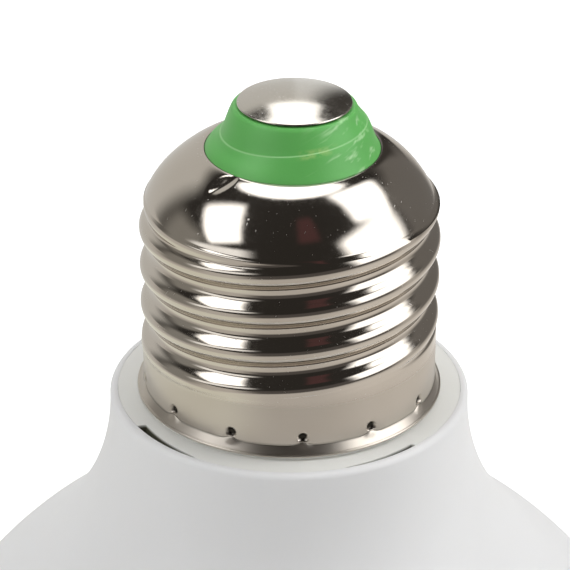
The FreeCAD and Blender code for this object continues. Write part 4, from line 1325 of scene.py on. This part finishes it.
@dataclass
class Studio:
    """Floor, cards, lamps and the white surroundings."""

    target: Vector = field(default_factory=lambda: Vector((0.0, 0.0, -0.016)))
    floor_size: float = 8.0
    floor_color: Color = (0.86, 0.86, 0.86)
    floor_lift: float = 0.4
    ambient: float = 0.2
    card_radius: float = 2.2
    card_tone: Color = (0.036, 0.033, 0.030)
    lamps: tuple[SoftBox, ...] = (
        SoftBox("left_window", -70.0, 43.0, 37.0, 26.0, 3.5, 2.6, roll=136.0, soft=6.0),
        SoftBox("left_strip", -56.0, 15.0, 45.0, 13.0, 1.5, 1.4, roll=20.0, soft=5.0),
        SoftBox("right_window", 100.0, 50.0, 35.0, 31.0, 3.9, 2.8, roll=45.0, soft=8.0),
        SoftBox("right_low", 72.0, 17.0, 50.0, 42.0, 1.3, 2.5, soft=11.0),
        SoftBox("back_window", -177.0, 72.0, 42.0, 36.0, 2.1, 2.6, soft=5.0, oval=True),
        SoftBox("back_low", 180.0, 52.0, 20.0, 26.0, 0.0, 2.4, soft=5.0),
    )
    patches: tuple[Patch, ...] = (
        Patch(-400.0, 400.0, -140.0, 1.0, (0.66, 0.63, 0.59), 12.0, 4.0),
        Patch(-220.0, -10.0, -70.0, -24.0, (0.90, 0.90, 0.80), 42.0, 8.0),
        Patch(14.0, 220.0, -70.0, -24.0, (0.88, 0.84, 0.79), 60.0, 8.0),
        Patch(-46.0, 98.0, -24.0, 12.0, (0.11, 0.10, 0.095), 26.0, 9.0),
        Patch(-230.0, -108.0, -34.0, 46.0, (0.68, 0.67, 0.64), 26.0, 12.0),
        Patch(-122.0, -58.0, -24.0, 34.0, (0.31, 0.30, 0.28), 24.0, 14.0),
        Patch(96.0, 168.0, -24.0, 44.0, (0.20, 0.19, 0.18), 16.0, 14.0),
        Patch(150.0, 172.0, 6.0, 46.0, (0.06, 0.055, 0.05), 9.0, 12.0),
        Patch(166.0, 230.0, -34.0, 52.0, (0.80, 0.80, 0.78), 11.0, 12.0),
        Patch(4.0, 32.0, 38.0, 70.0, (0.10, 0.05, 0.05), 8.0, 8.0),
    )

    def build(self) -> None:
        """Sets the whole studio up."""
        self.build_floor()
        self.build_cards()
        self.build_world()
        for lamp in self.lamps:
            lamp.build(self.target)

    def build_floor(self) -> None:
        """Lays the pale floor at the bulb's lowest point, white where it isn't in shadow."""
        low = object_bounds()[0][2]
        mesh = bmesh.new()
        bmesh.ops.create_grid(mesh, x_segments=4, y_segments=4, size=self.floor_size / 2.0)
        bmesh.ops.translate(mesh, vec=(0.0, 0.0, low), verts=mesh.verts)
        floor = self.stage_piece("studio_floor", mesh)
        mat = bpy.data.materials.new("floor_paper")
        mat.use_nodes = True
        n = Nodes(mat.node_tree)
        shader = mat.node_tree.nodes["Principled BSDF"]
        shader.inputs["Base Color"].default_value = (*self.floor_color, 1.0)
        shader.inputs["Roughness"].default_value = 0.9
        shader.inputs["Emission Color"].default_value = (1.0, 1.0, 1.0, 1.0)
        n.link(n.math("MULTIPLY", self.seen_directly(n), self.floor_lift), shader.inputs["Emission Strength"])
        floor.data.materials.append(mat)

    def build_cards(self) -> None:
        """Sets up the dome and the table card that stand for the room in reflections."""
        dome = bmesh.new()
        bmesh.ops.create_uvsphere(dome, u_segments=96, v_segments=64, radius=self.card_radius)
        bmesh.ops.translate(dome, vec=self.target, verts=dome.verts)
        self.card("room_cards", dome)
        table = bmesh.new()
        bmesh.ops.create_circle(table, cap_ends=True, segments=96, radius=self.card_radius)
        bmesh.ops.translate(table, vec=(0.0, 0.0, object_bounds()[0][2] + 0.0005), verts=table.verts)
        self.card("table_card", table)

    @staticmethod
    def seen_directly(n: Nodes) -> bpy.types.NodeSocket:
        """1 for the camera, for mirrors and for glass, 0 for soft light.

        Args:
            n: The nodes to add to.

        Returns:
            The mask.
        """
        path = n.add("ShaderNodeLightPath")
        seen = n.math("MAXIMUM", path.outputs["Is Camera Ray"], path.outputs["Is Glossy Ray"])
        return n.math("MAXIMUM", seen, path.outputs["Is Transmission Ray"])

    def card(self, name: str, mesh: bmesh.types.BMesh) -> None:
        """Makes a card that glows with the room's tones and is hidden from all but reflections.

        Args:
            name: Its name.
            mesh: Its mesh, which is used up.
        """
        piece = self.stage_piece(name, mesh)
        piece.visible_camera = False
        piece.visible_diffuse = False
        piece.visible_shadow = False
        piece.visible_transmission = False
        mat = bpy.data.materials.new(name)
        mat.use_nodes = True
        mat.node_tree.nodes.clear()
        n = Nodes(mat.node_tree)
        out = n.add("ShaderNodeOutputMaterial")
        view = Bearings(n, self.target)
        tone: object = self.card_tone
        for patch in self.patches:
            tone = n.mix(patch.mask(n, view), tone, patch.color)
        for lamp in self.lamps:
            tone = n.mix(lamp.mask(n, view), tone, (lamp.glow, lamp.glow, lamp.glow))
        glow = n.add("ShaderNodeEmission", {"Color": tone, "Strength": 1.0})
        n.link(glow.outputs[0], out.inputs[0])
        piece.data.materials.append(mat)

    @staticmethod
    def stage_piece(name: str, mesh: bmesh.types.BMesh) -> bpy.types.Object:
        """Makes an object that isn't part of the bulb.

        Args:
            name: Its name.
            mesh: Its mesh in metres, which is used up.

        Returns:
            The object.
        """
        data = bpy.data.meshes.new(name)
        mesh.to_mesh(data)
        mesh.free()
        piece = bpy.data.objects.new(name, data)
        bpy.context.scene.collection.objects.link(piece)
        piece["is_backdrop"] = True
        return piece

    def build_world(self) -> None:
        """White surroundings for what the camera and reflections see, softer for the light itself."""
        world = bpy.data.worlds.new("studio")
        bpy.context.scene.world = world
        world.use_nodes = True
        world.node_tree.nodes.clear()
        n = Nodes(world.node_tree)
        out = n.add("ShaderNodeOutputWorld")
        seen = self.seen_directly(n)
        soft = n.add("ShaderNodeBackground", {"Color": (1.0, 1.0, 1.0, 1.0), "Strength": self.ambient})
        white = n.add("ShaderNodeBackground", {"Color": (1.0, 1.0, 1.0, 1.0), "Strength": 1.0})
        mix = n.add("ShaderNodeMixShader", {0: seen, 1: soft.outputs[0], 2: white.outputs[0]})
        n.link(mix.outputs[0], out.inputs[0])
        bpy.context.scene.view_settings.view_transform = "Standard"


@dataclass
class PhotoCamera:
    """The camera of the photograph, fitted to the cap's edges."""

    distance: float = 0.240
    elevation: float = 27.16
    aim_height: float = -0.0149
    focal_pixels: float = 2767.43
    frame_pixels: float = 570.0
    aim_right: float = -4.8
    aim_down: float = 35.9
    roll: float = 0.3
    sensor: float = 36.0

    def build(self) -> None:
        """Places the camera and makes it the scene's."""
        el = math.radians(self.elevation)
        ahead = Vector((0.0, math.cos(el), -math.sin(el)))
        place = Vector((0.0, 0.0, self.aim_height)) - ahead * self.distance
        roll = math.radians(self.roll)
        level_right = Vector((1.0, 0.0, 0.0))
        level_up = Vector((0.0, math.sin(el), math.cos(el)))
        right = level_right * math.cos(roll) + level_up * math.sin(roll)
        up = level_up * math.cos(roll) - level_right * math.sin(roll)
        look = ahead + right * (self.aim_right / self.focal_pixels) - up * (self.aim_down / self.focal_pixels)
        look.normalize()
        side = look.cross(up).normalized()
        top = side.cross(look)
        lens = bpy.data.cameras.new("photo_camera")
        lens.sensor_width = self.sensor
        lens.lens = self.focal_pixels * self.sensor / self.frame_pixels
        lens.clip_start = 0.01
        camera = bpy.data.objects.new("photo_camera", lens)
        turn = Matrix((side, top, -look)).transposed().to_4x4()
        camera.matrix_world = Matrix.Translation(place) @ turn
        bpy.context.scene.collection.objects.link(camera)
        bpy.context.scene.camera = camera


def main() -> None:
    """Builds the bulb piece by piece, then its studio."""
    logging.basicConfig(level=logging.INFO, format="%(name)s %(message)s")
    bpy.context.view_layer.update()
    PhotoCamera().build()
    wardrobe = Wardrobe()
    InnerWorks().dress(wardrobe)
    end = ContactEnd()
    end.build_contact(wardrobe)
    end.build_insulator(wardrobe)
    ScrewCap().build(wardrobe)
    body = Body()
    body.build_carrier(wardrobe)
    body.build_housing(wardrobe)
    body.build_dome(wardrobe)
    Studio().build()


if __name__ == "__main__":
    main()
